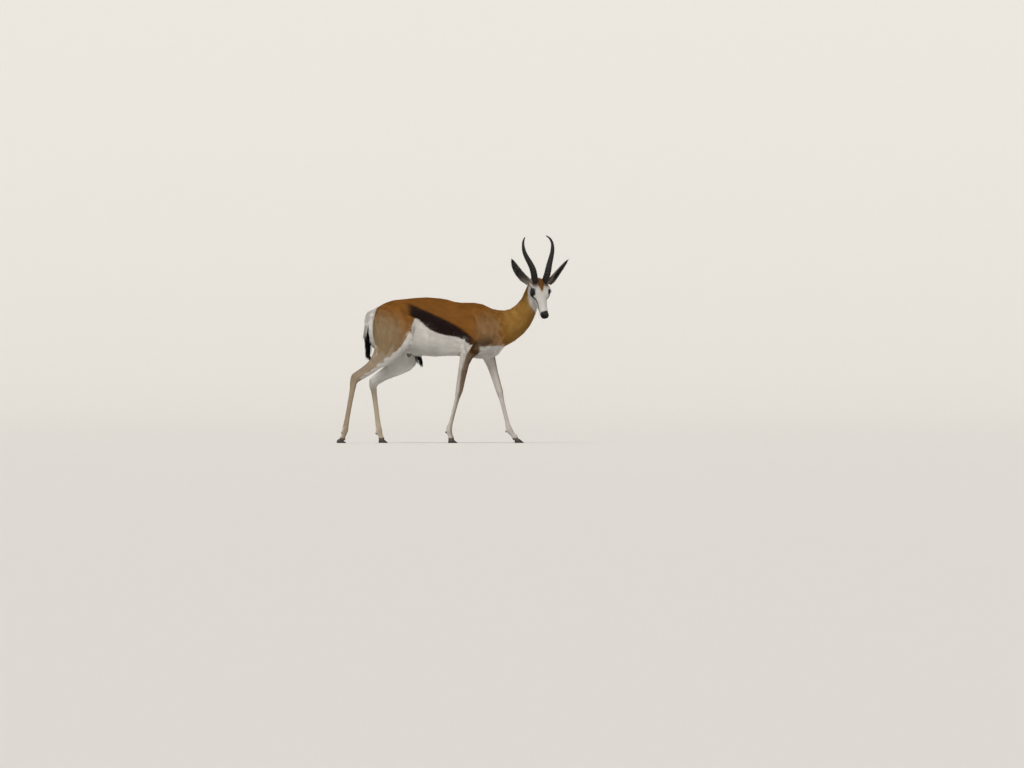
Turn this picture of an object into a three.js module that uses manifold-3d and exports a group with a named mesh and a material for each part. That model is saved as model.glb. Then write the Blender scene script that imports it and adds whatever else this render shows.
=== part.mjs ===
// A springbok ram in mid-step, its head turned to its right, at life size in millimetres.
// +Z is up, the chest points along +X and the animal's right side faces -Y. The floor is at Z = 0.
import * as THREE from "three";
import { mergeVertices } from "three/addons/utils/BufferGeometryUtils.js";
import Module from "manifold-3d";

const wasm = await Module();
wasm.setup();

// Sizes that drive the model
const GAP = 0.3; // between nodes that touch
const MIDLINE_SHIFT = 55; // moves the body's middle plane, so that the whole model's box is centred
const HEAD_TURN = 68; // degrees that the head is turned to the right of the chest
const HEAD_DROP = 52.5; // degrees that the skull's axis points below level
const EYES_AT = [471, -152, 814]; // midway between the eyes
const EAR_LENGTH = 175;
const HORN_RINGS = 12;
const HORN_BASE = { deep: 39, wide: 34 };
const EYE_RADIUS = 15.5;
const CLAW = { length: 50, wide: 15.5, tall: 25, apart: 17.6 };
const RIGHT = -1;
const LEFT = 1;

const COLOURS = {
  tan: 0xa9702f,
  dark: 0x3a2010,
  white: 0xe9e5dc,
  grey: 0x8d857b,
  horn: 0x1d1a18,
  eye: 0x120c08,
};

// Solids from geometry, and back

// A closed geometry as a solid that can be joined and cut.
function solidOf(geometry) {
  const bare = geometry.clone();
  bare.deleteAttribute("normal");
  bare.deleteAttribute("uv");
  const merged = mergeVertices(bare, 1e-3);
  return new wasm.Manifold(
    new wasm.Mesh({
      numProp: 3,
      vertProperties: merged.attributes.position.array,
      triVerts: new Uint32Array(merged.index.array),
    }),
  );
}

// A solid's surface as a geometry.
function geometryOf(solid) {
  const mesh = solid.getMesh();
  const geometry = new THREE.BufferGeometry()
    .setAttribute("position", new THREE.BufferAttribute(mesh.vertProperties, 3))
    .setIndex(new THREE.BufferAttribute(mesh.triVerts, 1));
  geometry.computeVertexNormals();
  return geometry;
}

// The same solid with its surface moved out by an even distance.
function inflated(solid, distance = GAP) {
  const geometry = geometryOf(solid);
  const { position, normal } = geometry.attributes;
  for (let i = 0; i < position.count; i++) {
    position.setXYZ(
      i,
      position.getX(i) + normal.getX(i) * distance,
      position.getY(i) + normal.getY(i) * distance,
      position.getZ(i) + normal.getZ(i) * distance,
    );
  }
  return solidOf(geometry);
}

// The same solid with every edge shorter than a length closed up.
function withoutSlivers(solid, length) {
  const { vertProperties: corners, triVerts } = solid.getMesh();
  const leader = Array.from({ length: corners.length / 3 }, (_, i) => i);
  const find = (i) => {
    while (leader[i] !== i) i = leader[i];
    return i;
  };
  const apart = (a, b) => Math.hypot(...[0, 1, 2].map((k) => corners[3 * a + k] - corners[3 * b + k]));
  const corner = (t, k) => triVerts[3 * t + (k % 3)];
  const count = triVerts.length / 3;
  for (let t = 0; t < count; t++) {
    for (let k = 0; k < 3; k++) {
      const [a, b] = [find(corner(t, k)), find(corner(t, k + 1))];
      if (a !== b && apart(a, b) < length) leader[Math.max(a, b)] = Math.min(a, b);
    }
  }
  const kept = [];
  for (let t = 0; t < count; t++) {
    const [a, b, c] = [0, 1, 2].map((k) => find(corner(t, k)));
    if (a !== b && b !== c && c !== a) kept.push(a, b, c);
  }
  return new wasm.Manifold(
    new wasm.Mesh({ numProp: 3, vertProperties: corners, triVerts: new Uint32Array(kept) }),
  );
}

// Whether each edge of a solid belongs to exactly two triangles once its points are rounded.
function isTight(solid) {
  const { vertProperties: corners, triVerts } = solid.getMesh();
  const rounded = (i) => [0, 1, 2].map((k) => Math.round(corners[3 * i + k] * 1000)).join();
  const uses = new Map();
  for (let t = 0; t < triVerts.length; t += 3) {
    for (let k = 0; k < 3; k++) {
      const ends = [rounded(triVerts[t + k]), rounded(triVerts[t + ((k + 1) % 3)])].sort().join("|");
      uses.set(ends, (uses.get(ends) ?? 0) + 1);
    }
  }
  return [...uses.values()].every((count) => count === 2);
}

// The largest closed surface of a solid, with its shortest edges closed up where that keeps it
// tight: this drops scraps and fills sealed hollows.
function largest(solid) {
  const pick = (whole) => whole.decompose().reduce((a, b) => (b.volume() > a.volume() ? b : a));
  const body = pick(solid);
  for (const length of [0.1, 0.2, 0.05, 0.03, 0.01, 0.4]) {
    try {
      const candidate = pick(withoutSlivers(body, length));
      if (isTight(candidate)) return candidate;
    } catch {
      continue;
    }
  }
  return body;
}

const joined = (...solids) => solids.reduce((a, b) => a.add(b));
const vec = (x, y, z) => new THREE.Vector3(x, y, z);

// Shapes

// A smooth value along x through a few [x, value] points.
function along(points) {
  const slope = (i) => {
    const a = points[Math.max(i - 1, 0)];
    const b = points[Math.min(i + 1, points.length - 1)];
    return (b[1] - a[1]) / (b[0] - a[0]);
  };
  return (x) => {
    const next = points.findIndex(([px]) => px >= x);
    if (next <= 0) return next === 0 ? points[0][1] : points.at(-1)[1];
    const [x0, v0] = points[next - 1];
    const [x1, v1] = points[next];
    const run = x1 - x0;
    const t = (x - x0) / run;
    const rise0 = slope(next - 1) * run;
    const rise1 = slope(next) * run;
    return (
      v0 * (1 + 2 * t) * (1 - t) ** 2 +
      rise0 * t * (1 - t) ** 2 +
      v1 * t * t * (3 - 2 * t) +
      rise1 * t * t * (t - 1)
    );
  };
}

// A closed body through rings that have the same number of points, with a fan over each end.
function loft(rings) {
  const count = rings[0].length;
  const middle = (ring) => ring.reduce((sum, p) => sum.add(p), vec(0, 0, 0)).divideScalar(count);
  const points = [...rings.flat(), middle(rings[0]), middle(rings.at(-1))];
  const index = [];
  for (let r = 0; r < rings.length; r++) {
    for (let i = 0; i < count; i++) {
      const a = r * count + i;
      const b = r * count + ((i + 1) % count);
      if (r === 0) index.push(points.length - 2, b, a);
      if (r === rings.length - 1) index.push(points.length - 1, a, b);
      else index.push(a, b, a + count, b, b + count, a + count);
    }
  }
  return solidOf(new THREE.BufferGeometry().setFromPoints(points).setIndex(index));
}

// A power of a sine or cosine that keeps its sign, which makes rings rounder or squarer.
const power = (value, exponent) => Math.sign(value) * Math.abs(value) ** exponent;

// A limb-like body along a smooth path through stations {at, deep, wide, egg, turn}.
// deep is across the path fore and aft, wide is sideways, egg widens the front and thins the back,
// and turn is how far the sideways direction has swung to the right, in degrees.
function limb(stations, rings, segments) {
  const smooth = (values) => new THREE.CatmullRomCurve3(values, false, "centripetal");
  const path = smooth(stations.map((s) => vec(...s.at)));
  const size = smooth(stations.map((s, i) => vec(s.deep / 2, s.wide / 2, i * 1000)));
  const shape = smooth(stations.map((s, i) => vec(s.egg ?? 0, (s.turn ?? 0) / 10, i * 1000)));
  const made = [];
  for (let r = 0; r <= rings; r++) {
    const t = r / rings;
    const at = path.getPoint(t);
    const ahead = path.getTangent(t);
    const { x: deep, y: wide } = size.getPoint(t);
    const { x: egg, y: tenths } = shape.getPoint(t);
    const turn = THREE.MathUtils.degToRad(tenths * 10);
    const side = vec(Math.sin(turn), Math.cos(turn), 0);
    side.addScaledVector(ahead, -side.dot(ahead)).normalize();
    const front = ahead.clone().cross(side);
    made.push(
      Array.from({ length: segments }, (_, i) => {
        const a = (-2 * Math.PI * i) / segments;
        return at
          .clone()
          .addScaledVector(front, deep * Math.cos(a))
          .addScaledVector(side, wide * Math.sin(a) * (1 + egg * Math.cos(a)));
      }),
    );
  }
  return loft(made);
}

// A ball stretched along three axes, turned, then moved.
function ball(radii, at, segments = 16, turn = [0, 0, 0]) {
  const geometry = new THREE.SphereGeometry(1, segments, Math.round(segments * 0.7));
  geometry.scale(...radii);
  geometry.applyMatrix4(new THREE.Matrix4().makeRotationFromEuler(new THREE.Euler(...turn)));
  return solidOf(geometry.translate(...at));
}

// A curved sheet with thickness: two grids of points, outer and inner, stitched round their border.
function sheet(outer, inner) {
  const rows = outer.length;
  const columns = outer[0].length;
  const half = rows * columns;
  const index = [];
  const quad = (a, b, c, d) => index.push(a, b, c, a, c, d);
  const id = (r, c) => r * columns + c;
  for (let r = 0; r < rows - 1; r++) {
    for (let c = 0; c < columns - 1; c++) {
      const [a, b, d, e] = [id(r, c), id(r, c + 1), id(r + 1, c + 1), id(r + 1, c)];
      quad(a, b, d, e);
      index.push(half + a, half + d, half + b, half + a, half + e, half + d);
    }
    const [p, q] = [id(r, 0), id(r + 1, 0)];
    const [s, t] = [id(r, columns - 1), id(r + 1, columns - 1)];
    quad(p, q, half + q, half + p);
    quad(t, s, half + s, half + t);
  }
  for (let c = 0; c < columns - 1; c++) {
    const [p, q] = [id(0, c), id(0, c + 1)];
    const [s, t] = [id(rows - 1, c), id(rows - 1, c + 1)];
    quad(q, p, half + p, half + q);
    quad(s, t, half + t, half + s);
  }
  const points = [...outer.flat(), ...inner.flat()];
  return solidOf(new THREE.BufferGeometry().setFromPoints(points).setIndex(index));
}

// A repeatable stream of numbers between 0 and 1.
function seeded(seed) {
  let state = seed;
  return () => {
    state = (state * 1664525 + 1013904223) % 4294967296;
    return state / 4294967296;
  };
}

// A flat lock of hair that tapers to a point as it bends from its first direction to its last.
function lock({ root, first, last, length, wide, thick }) {
  const steps = 5;
  const at = root.clone();
  const rings = [];
  for (let i = 0; i <= steps; i++) {
    const t = i / steps;
    const ahead = first.clone().lerp(last, t).normalize();
    const across = vec(0.13, 1, 0.07).addScaledVector(ahead, -ahead.dot(vec(0.13, 1, 0.07))).normalize();
    const face = ahead.clone().cross(across);
    const taper = Math.max(0.1, Math.sin(Math.PI * (0.34 + 0.64 * t)));
    const corners = [[1, 0], [0, -1], [-1, 0], [0, 1]];
    rings.push(
      corners.map(([a, b]) =>
        at
          .clone()
          .addScaledVector(across, (a * taper * wide) / 2)
          .addScaledVector(face, (b * taper * thick) / 2),
      ),
    );
    at.addScaledVector(ahead, length / steps);
  }
  return loft(rings);
}

// Locks set in a spiral round part of a limb's path, leaning out and then hanging with it.
function locksRound(stations, { count, from, to, length, wide, thick, lean, seed }) {
  const random = seeded(seed);
  const path = new THREE.CatmullRomCurve3(stations.map((s) => vec(...s.at)), false, "centripetal");
  const goldenTurn = 2.39996;
  return Array.from({ length: count }, (_, i) => {
    const t = from + ((to - from) * (i + 0.5 * random())) / count;
    const turn = goldenTurn * i + 0.5 * random();
    const down = path.getTangent(t);
    const aside = vec(Math.cos(turn), Math.sin(turn), 0.1 * random());
    return lock({
      root: path.getPoint(t).addScaledVector(aside, 1 + random()),
      first: down.clone().addScaledVector(aside, lean * (0.8 + 0.5 * random())),
      last: down.clone().addScaledVector(aside, -0.05 + 0.1 * random()),
      length: length * (0.8 + 0.4 * random()),
      wide,
      thick,
    });
  });
}

// The trunk

const TRUNK_ENDS = [-452, 304];
const backLine = along([
  [-452, 716], [-425, 728], [-393, 744], [-340, 770], [-285, 778], [-231, 784], [-139, 790],
  [-69, 784], [-15, 775], [20, 762], [60, 759], [110, 760], [147, 758], [201, 734], [255, 705], [304, 680],
]);
const bellyLine = along([
  [-452, 600], [-400, 548], [-330, 512], [-250, 487], [-172, 471], [-85, 461],
  [-15, 467], [60, 464], [120, 453], [180, 449], [230, 460], [270, 488], [304, 520],
]);
const trunkHalfWidth = along([
  [-452, 44], [-400, 66], [-330, 80], [-240, 88], [-150, 99], [-60, 111],
  [20, 112], [100, 103], [170, 93], [230, 79], [275, 64], [304, 50],
]);
const widestHeight = along([
  [-452, 660], [-330, 668], [-240, 640], [-120, 604], [0, 592], [120, 596], [220, 600], [304, 600],
]);
const TRUNK_END_ROUNDING = 62;

// Rings crowd towards both ends, where the trunk closes in a rounded cap.
function trunk() {
  const [rear, front] = TRUNK_ENDS;
  const rings = 22;
  const segments = 24;
  const made = [];
  for (let r = 0; r <= rings; r++) {
    const x = (rear + front) / 2 - ((front - rear) / 2) * Math.cos((Math.PI * (r + 0.35)) / (rings + 0.7));
    const fromEnd = Math.min(x - rear, front - x) / TRUNK_END_ROUNDING;
    const round = fromEnd >= 1 ? 1 : Math.sqrt(1 - (1 - fromEnd) ** 2);
    const widest = widestHeight(x);
    made.push(
      Array.from({ length: segments }, (_, i) => {
        const a = (2 * Math.PI * i) / segments;
        const up = Math.sin(a);
        const edge = up > 0 ? backLine(x) : bellyLine(x);
        const squareness = up > 0 ? 0.97 : 0.9;
        const y = trunkHalfWidth(x) * power(Math.cos(a), squareness) * round;
        return vec(x, y, widest + (edge - widest) * Math.abs(up) ** squareness * round);
      }),
    );
  }
  return loft(made);
}

// The rump's pale hair stands out behind, as deep as the root of the tail.
const RUMP = [
  { at: [-392, 0, 724], deep: 30, wide: 46 },
  { at: [-424, 0, 700], deep: 58, wide: 76 },
  { at: [-428, 0, 655], deep: 68, wide: 92 },
  { at: [-427, 0, 600], deep: 66, wide: 96 },
  { at: [-420, 0, 548], deep: 56, wide: 88 },
  { at: [-402, 0, 506], deep: 40, wide: 66 },
];

// The neck rises from the chest and swings to the right as it reaches the head
const NECK = [
  { at: [165, 0, 612], deep: 236, wide: 150, egg: -0.1, turn: 0 },
  { at: [250, 0, 618], deep: 214, wide: 132, egg: -0.12, turn: 0 },
  { at: [322, -1, 643], deep: 176, wide: 112, egg: -0.12, turn: 8 },
  { at: [376, -8, 690], deep: 144, wide: 99, egg: -0.1, turn: 22 },
  { at: [410, -26, 746], deep: 122, wide: 90, egg: -0.08, turn: 40 },
  { at: [431, -52, 802], deep: 112, wide: 86, egg: -0.05, turn: 56 },
  { at: [446, -84, 844], deep: 104, wide: 84, egg: 0, turn: 66 },
  { at: [453, -112, 856], deep: 86, wide: 74, egg: 0, turn: 68 },
];

// Legs, each from inside the trunk down to the hoof, standing as in mid-step

const HIND_RIGHT = {
  hoof: [-602, -57],
  upper: [
    { at: [-322, -46, 732], deep: 120, wide: 52 },
    { at: [-334, -60, 672], deep: 196, wide: 98, egg: 0.05 },
    { at: [-345, -66, 603], deep: 190, wide: 104, egg: 0.08 },
    { at: [-350, -70, 547], deep: 162, wide: 90, egg: 0.1 },
    { at: [-370, -70, 490], deep: 122, wide: 74, egg: 0.15 },
    { at: [-418, -66, 426], deep: 80, wide: 56, egg: 0.3 },
    { at: [-470, -62, 386], deep: 66, wide: 45, egg: 0.35 },
  ],
  hock: { at: [-530, -59, 345], deep: 58, wide: 38 },
  fetlock: [-581, -57, 66],
  stifle: [
    { at: [-262, -56, 640], deep: 44, wide: 40 },
    { at: [-252, -64, 600], deep: 66, wide: 58 },
    { at: [-268, -68, 548], deep: 74, wide: 66 },
    { at: [-294, -70, 502], deep: 74, wide: 62 },
    { at: [-336, -68, 457], deep: 60, wide: 52 },
    { at: [-392, -65, 420], deep: 42, wide: 38 },
  ],
};
const HIND_LEFT = {
  hoof: [-378, 57],
  upper: [
    { at: [-322, 46, 732], deep: 120, wide: 52 },
    { at: [-326, 60, 672], deep: 192, wide: 98, egg: 0.05 },
    { at: [-312, 66, 603], deep: 188, wide: 104, egg: 0.08 },
    { at: [-288, 72, 540], deep: 168, wide: 92, egg: 0.1 },
    { at: [-276, 74, 477], deep: 140, wide: 78, egg: 0.15 },
    { at: [-318, 68, 408], deep: 96, wide: 58, egg: 0.3 },
    { at: [-372, 63, 370], deep: 72, wide: 46, egg: 0.35 },
  ],
  hock: { at: [-432, 60, 325], deep: 60, wide: 38 },
  fetlock: [-398, 57, 62],
  stifle: [
    { at: [-262, 60, 600], deep: 44, wide: 40 },
    { at: [-232, 68, 536], deep: 62, wide: 56 },
    { at: [-210, 71, 472], deep: 66, wide: 62 },
    { at: [-238, 70, 424], deep: 70, wide: 56 },
    { at: [-298, 66, 388], deep: 56, wide: 46 },
    { at: [-364, 63, 362], deep: 46, wide: 36 },
  ],
};
const FORE_RIGHT = {
  hoof: [-2, -53],
  upper: [
    { at: [140, -36, 728], deep: 70, wide: 34 },
    { at: [160, -56, 660], deep: 130, wide: 66 },
    { at: [158, -68, 592], deep: 160, wide: 78 },
    { at: [113, -73, 540], deep: 164, wide: 74 },
    { at: [84, -71, 492], deep: 96, wide: 64 },
    { at: [67, -67, 448], deep: 66, wide: 54 },
    { at: [56, -63, 400], deep: 56, wide: 45 },
    { at: [45, -60, 340], deep: 49, wide: 39 },
  ],
  knee: { at: [35, -57, 282], deep: 45, wide: 42 },
  fetlock: [-21, -53, 69],
  elbow: [53, -67, 516],
};
const FORE_LEFT = {
  hoof: [356, 53],
  upper: [
    { at: [140, 36, 728], deep: 70, wide: 34 },
    { at: [166, 56, 660], deep: 130, wide: 66 },
    { at: [180, 68, 592], deep: 158, wide: 78 },
    { at: [178, 73, 538], deep: 138, wide: 74 },
    { at: [186, 71, 488], deep: 92, wide: 62 },
    { at: [203, 67, 440], deep: 62, wide: 52 },
    { at: [217, 63, 392], deep: 52, wide: 44 },
    { at: [234, 60, 337], deep: 45, wide: 38 },
  ],
  knee: { at: [252, 57, 278], deep: 42, wide: 41 },
  fetlock: [303, 53, 73],
  elbow: [132, 67, 512],
};

const mix = (a, b, t) => a.map((v, i) => v + (b[i] - v) * t);

// The cannon, fetlock and pastern below a hock or knee, with the sizes that both kinds share.
function shank(top, fetlock, hoof, cannon) {
  const coronet = [...mix(fetlock, [...hoof, 0], 0.66)];
  return [
    { at: mix(top, fetlock, 0.13), deep: cannon.deep * 1.3, wide: cannon.wide * 1.25 },
    { at: mix(top, fetlock, 0.27), deep: cannon.deep * 1.08, wide: cannon.wide * 1.05 },
    { at: mix(top, fetlock, 0.55), deep: cannon.deep, wide: cannon.wide },
    { at: mix(top, fetlock, 0.83), deep: cannon.deep * 1.04, wide: cannon.wide },
    { at: fetlock, deep: 37, wide: 32 },
    { at: mix(fetlock, coronet, 0.55), deep: 28, wide: 28 },
    { at: coronet, deep: 35, wide: 35 },
    { at: [coronet[0], coronet[1], 15], deep: 33, wide: 33 },
  ];
}

const hindLeg = (leg) =>
  limb(
    [...leg.upper, leg.hock, ...shank(leg.hock.at, leg.fetlock, leg.hoof, { deep: 29, wide: 25 })],
    24,
    12,
  );
const foreLeg = (leg) =>
  limb(
    [...leg.upper, leg.knee, ...shank(leg.knee.at, leg.fetlock, leg.hoof, { deep: 25, wide: 24 })],
    24,
    12,
  );

// The knee cap and the fold of skin that ties it to the flank.
const stifle = (leg) => limb(leg.stifle, 8, 8);

// The point of the elbow.
const elbow = (leg) => ball([24, 22, 36], leg.elbow, 10, [0, -0.3, 0]);

// The point of the hock, drawn up into the tendon behind the gaskin.
function hockPoint({ hock, upper }) {
  const behind = mix(hock.at, upper.at(-1).at, 0.12);
  const heel = [behind[0] - 16, behind[1], behind[2] + 12];
  const tendon = mix(hock.at, upper.at(-2).at, 0.62);
  return limb(
    [
      { at: [hock.at[0] - 8, hock.at[1], hock.at[2] - 26], deep: 20, wide: 17 },
      { at: heel, deep: 26, wide: 21 },
      { at: mix(heel, [tendon[0] - 20, tendon[1], tendon[2] + 20], 0.45), deep: 17, wide: 14 },
      { at: [tendon[0] - 16, tendon[1], tendon[2] + 18], deep: 16, wide: 16 },
    ],
    7,
    10,
  );
}

// A hoof's claw, its flat sole on the floor: x runs to the toe and y is across.
const clawHalfWidth = along([[0, 0.6], [0.25, 1], [0.55, 0.94], [0.85, 0.55], [1, 0.12]]);
const clawHeight = along([[0, 0.55], [0.18, 0.86], [0.42, 1], [0.62, 0.74], [0.85, 0.36], [1, 0.16]]);

function claw() {
  const rings = 6;
  const arch = 6;
  return loft(
    Array.from({ length: rings + 1 }, (_, r) => {
      const t = r / rings;
      const half = (CLAW.wide / 2) * clawHalfWidth(t);
      const tall = CLAW.tall * clawHeight(t);
      return Array.from({ length: arch + 1 }, (_, i) => {
        const a = (Math.PI * i) / arch;
        return vec((t - 0.46) * CLAW.length, half * power(Math.cos(a), 0.8), tall * Math.sin(a) ** 0.75);
      });
    }),
  );
}

// The skull's frame: x to the nose, y to the animal's left, z to the forehead, from a point between
// the eyes.
const headMatrix = new THREE.Matrix4()
  .makeTranslation(...EYES_AT)
  .multiply(new THREE.Matrix4().makeRotationZ(THREE.MathUtils.degToRad(-HEAD_TURN)))
  .multiply(new THREE.Matrix4().makeRotationY(THREE.MathUtils.degToRad(HEAD_DROP)));
const headInverse = headMatrix.clone().invert();

const SKULL_ENDS = [-100, 155];
const faceLine = along([
  [-100, 0], [-85, 14], [-66, 29], [-48, 38], [-30, 38], [-14, 34.5], [2, 30], [18, 25],
  [40, 18], [62, 11], [86, 4], [112, -3], [134, -8], [148, -13], [158, -22],
]);
const jawLine = along([
  [-106, -54], [-85, -72], [-62, -86], [-42, -90], [-22, -87], [0, -80],
  [34, -69], [70, -61], [105, -56], [130, -53], [147, -47], [158, -38],
]);
const cheekHalfWidth = along([
  [-106, 28], [-85, 40], [-62, 47], [-42, 50], [-20, 51], [0, 49], [16, 43],
  [36, 34], [62, 28], [90, 24], [118, 23], [138, 22], [149, 18.5], [158, 13],
]);
const cheekHeight = along([[-106, -16], [-60, -10], [-20, 0], [0, 2], [24, -8], [60, -18], [106, -25], [158, -29]]);
const jawSlimness = along([[-106, 1.2], [-60, 1.35], [0, 1.45], [46, 1.25], [106, 1], [158, 0.95]]);

// The skull with its flesh. inset makes it smaller all round.
function skull(inset = 0) {
  const [rear, front] = SKULL_ENDS;
  const rings = 18;
  const segments = 20;
  return loft(
    Array.from({ length: rings + 1 }, (_, r) => {
      const x = (rear + front) / 2 - ((front - rear) / 2 - inset) * Math.cos((Math.PI * (r + 0.2)) / (rings + 0.4));
      const middle = cheekHeight(x);
      const half = cheekHalfWidth(x) - inset;
      return Array.from({ length: segments }, (_, i) => {
        const a = (2 * Math.PI * i) / segments;
        const up = Math.sin(a);
        const edge = up > 0 ? faceLine(x) - inset : jawLine(x) + inset;
        const slim = up > 0 ? 1 : jawSlimness(x);
        return vec(x, half * power(Math.cos(a), slim), middle + (edge - middle) * Math.abs(up) ** 0.92);
      });
    }),
  );
}

const EYE_AT = { x: 0, y: 44, z: 2 };
const LID_THICKNESS = 2.8;

// An eyelid pair: a shell round the eyeball, opened by a slanted almond.
function lids(side) {
  const at = [EYE_AT.x, side * EYE_AT.y, EYE_AT.z];
  const shell = ball(Array(3).fill(EYE_RADIUS + LID_THICKNESS), at, 14);
  const opening = ball([14.5, 12, 9.5], [EYE_AT.x + 3, side * (EYE_AT.y + 15.5), EYE_AT.z + 1], 12, [
    side * -0.12, -0.28, side * -0.2,
  ]);
  return shell.subtract(opening);
}

// The parts of the head that swell out of the skull.
function swellings(side) {
  return [
    ball([28, 17, 14], [-4, side * 37, 13], 10, [0, 0.3, side * -0.12]), // brow over the eye
    ball([36, 12, 26], [-40, side * 34, -44], 10, [0, 0.5, 0]), // jaw muscle
    ball([27, 12, 11], [9, side * 38, -15], 9, [0, 0.35, side * -0.3]), // cheekbone
    ball([17, 12, 17], [-22, side * 41, -1], 9), // rim behind the eye
    ball([25, 19, 23], [-57, side * 43, 5], 9), // root of the ear
    ball([14, 9, 11], [141, side * 13, -22], 9), // wing of the nostril
    ball([23, 20, 18], [-50, side * 30, 29], 10, [0, 0.6, side * 0.2]), // seat of the horn
  ];
}

// The comma of each nostril.
function nostril(side) {
  return joined(
    ball([8.5, 6, 3], [151, side * 17, -19], 10, [side * 0.5, 0.5, side * -0.7]),
    ball([6, 5, 2], [143, side * 21.5, -15], 8, [side * 0.4, -0.5, side * -0.3]),
  );
}

// The line of the mouth, a groove between the lips that runs back to its corner.
function mouthLine() {
  const lipLine = along([[70, -43], [86, -42], [108, -39.5], [130, -37.5], [150, -35.5], [170, -34.5]]);
  const steps = 9;
  const plate = [];
  for (let i = 0; i <= steps; i++) {
    const x = 78 + (92 * i) / steps;
    const z = lipLine(x);
    const half = 0.5 + 0.9 * Math.min(1, i / 3);
    plate.push([vec(x, 40, z - half), vec(x, 40, z + half), vec(x, -40, z + half), vec(x, -40, z - half)]);
  }
  return loft(plate).subtract(skull(4.5));
}

function head() {
  const chin = ball([24, 15, 12], [124, 0, -48], 10, [0, 0.06, 0]);
  const upperLip = ball([25, 21, 11], [128, 0, -28], 12, [0, 0.1, 0]);
  const raised = [RIGHT, LEFT].flatMap((side) => [...swellings(side), lids(side)]);
  const cut = [RIGHT, LEFT].flatMap((side) => [
    nostril(side),
    ball(Array(3).fill(EYE_RADIUS + GAP), [EYE_AT.x, side * EYE_AT.y, EYE_AT.z], 14),
  ]);
  const sunk = ball([3, 1.6, 13], [158, 0, -25], 8);
  return largest(joined(skull(), chin, upperLip, ...raised).subtract(joined(...cut, mouthLine(), sunk)));
}

// Each ear is a pointed leaf rolled into a cup that opens forwards and outwards.
const earHalfWidth = along([[0, 18], [0.15, 21], [0.4, 22.5], [0.6, 21], [0.8, 15.5], [0.93, 8], [1, 1.8]]);
const earWrap = along([[0, 2.5], [0.2, 2.1], [0.45, 1.5], [0.7, 1.25], [1, 1]]);

function ear(side) {
  const root = earDirection(vec(-24, side * 52, 49));
  const axis = earDirection(vec(24, side * 113, 127)).normalize();
  const opening = earDirection(side === RIGHT ? vec(0.86, -0.24, -0.36) : vec(0.78, 0.46, -0.3));
  opening.addScaledVector(axis, -opening.dot(axis)).normalize();
  const across = axis.clone().cross(opening);
  const slim = side === RIGHT ? 1 : 0.9; // the left ear is held a little more folded
  const outward = across.clone().multiplyScalar(side);
  const rows = 12;
  const columns = 10;
  const wall = 3;
  const grid = (inset) =>
    Array.from({ length: rows + 1 }, (_, r) => {
      const t = r / rows;
      const wrap = earWrap(t);
      const radius = (slim * earHalfWidth(t)) / Math.sin(Math.min(wrap, Math.PI / 2));
      const bow = Math.sin(Math.PI * t);
      const at = root.clone().addScaledVector(axis, t * EAR_LENGTH);
      at.addScaledVector(opening, radius * 0.5 - 10 * bow).addScaledVector(outward, (side === RIGHT ? 15 : 16) * bow);
      return Array.from({ length: columns + 1 }, (_, c) => {
        const a = wrap * ((2 * c) / columns - 1);
        const reach = Math.max(0.35, radius - inset * Math.min(1, radius / 8));
        return at
          .clone()
          .addScaledVector(opening, -Math.cos(a) * reach)
          .addScaledVector(across, Math.sin(a) * reach);
      });
    });
  return sheet(grid(wall), grid(0));
}

// A direction given level with the head's turn (forward, left, up), in the skull's own frame.
function earDirection(direction) {
  const drop = THREE.MathUtils.degToRad(HEAD_DROP);
  return direction.clone().applyAxisAngle(vec(0, 1, 0), -drop);
}

// Horn paths as [forward, outward, up] from between the eyes, level with the head's turn. The right
// horn's tip is a little shorter.
const HORN_PATH = [
  [-10, 28, 48], [-2, 32, 68], [4, 37, 88], [4, 45, 120], [-6, 56, 151],
  [-19, 70, 183], [-28, 81, 214], [-33, 85, 242], [-38, 83, 268],
];
const HORN_TIPS = {
  right: [[-44, 76, 284], [-54, 66, 295]],
  left: [[-46, 74, 288], [-62, 57, 304]],
};
const hornTaper = along([[0, 1], [0.25, 0.94], [0.5, 0.74], [0.7, 0.52], [0.88, 0.27], [1, 0.05]]);
const RINGED_SHARE = 0.74;

function horn(side) {
  const tips = side === RIGHT ? HORN_TIPS.right : HORN_TIPS.left;
  const points = [...HORN_PATH, ...tips].map(([f, out, up]) => earDirection(vec(f, side * out, up)));
  const path = new THREE.CatmullRomCurve3(points, false, "centripetal");
  const stops = [0];
  for (let ring = 0; ring < HORN_RINGS; ring++) {
    const start = 0.1 + (ring / HORN_RINGS) * (RINGED_SHARE - 0.1);
    const pitch = (RINGED_SHARE - 0.1) / HORN_RINGS;
    stops.push(start, start + pitch * 0.3, start + pitch * 0.75);
  }
  for (let t = RINGED_SHARE; t <= 1.001; t += (1 - RINGED_SHARE) / 7) stops.push(Math.min(t, 1));
  const segments = 8;
  const rings = stops.map((t, i) => {
    const at = path.getPointAt(t);
    const ahead = path.getTangentAt(t);
    const across = vec(0, 1, 0).addScaledVector(ahead, -ahead.y).normalize();
    const front = ahead.clone().cross(across);
    const onRing = i > 0 && t < RINGED_SHARE && i % 3 !== 1;
    const swell = onRing ? 1.9 * (1 - 0.55 * t) : 0;
    const deep = (HORN_BASE.deep / 2) * hornTaper(t) + swell;
    const wide = (HORN_BASE.wide / 2) * hornTaper(t) + swell * 0.8;
    return Array.from({ length: segments }, (_, k) => {
      const a = (-2 * Math.PI * k) / segments;
      return at
        .clone()
        .addScaledVector(front, deep * Math.cos(a))
        .addScaledVector(across, wide * Math.sin(a));
    });
  });
  return loft(rings);
}

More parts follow.
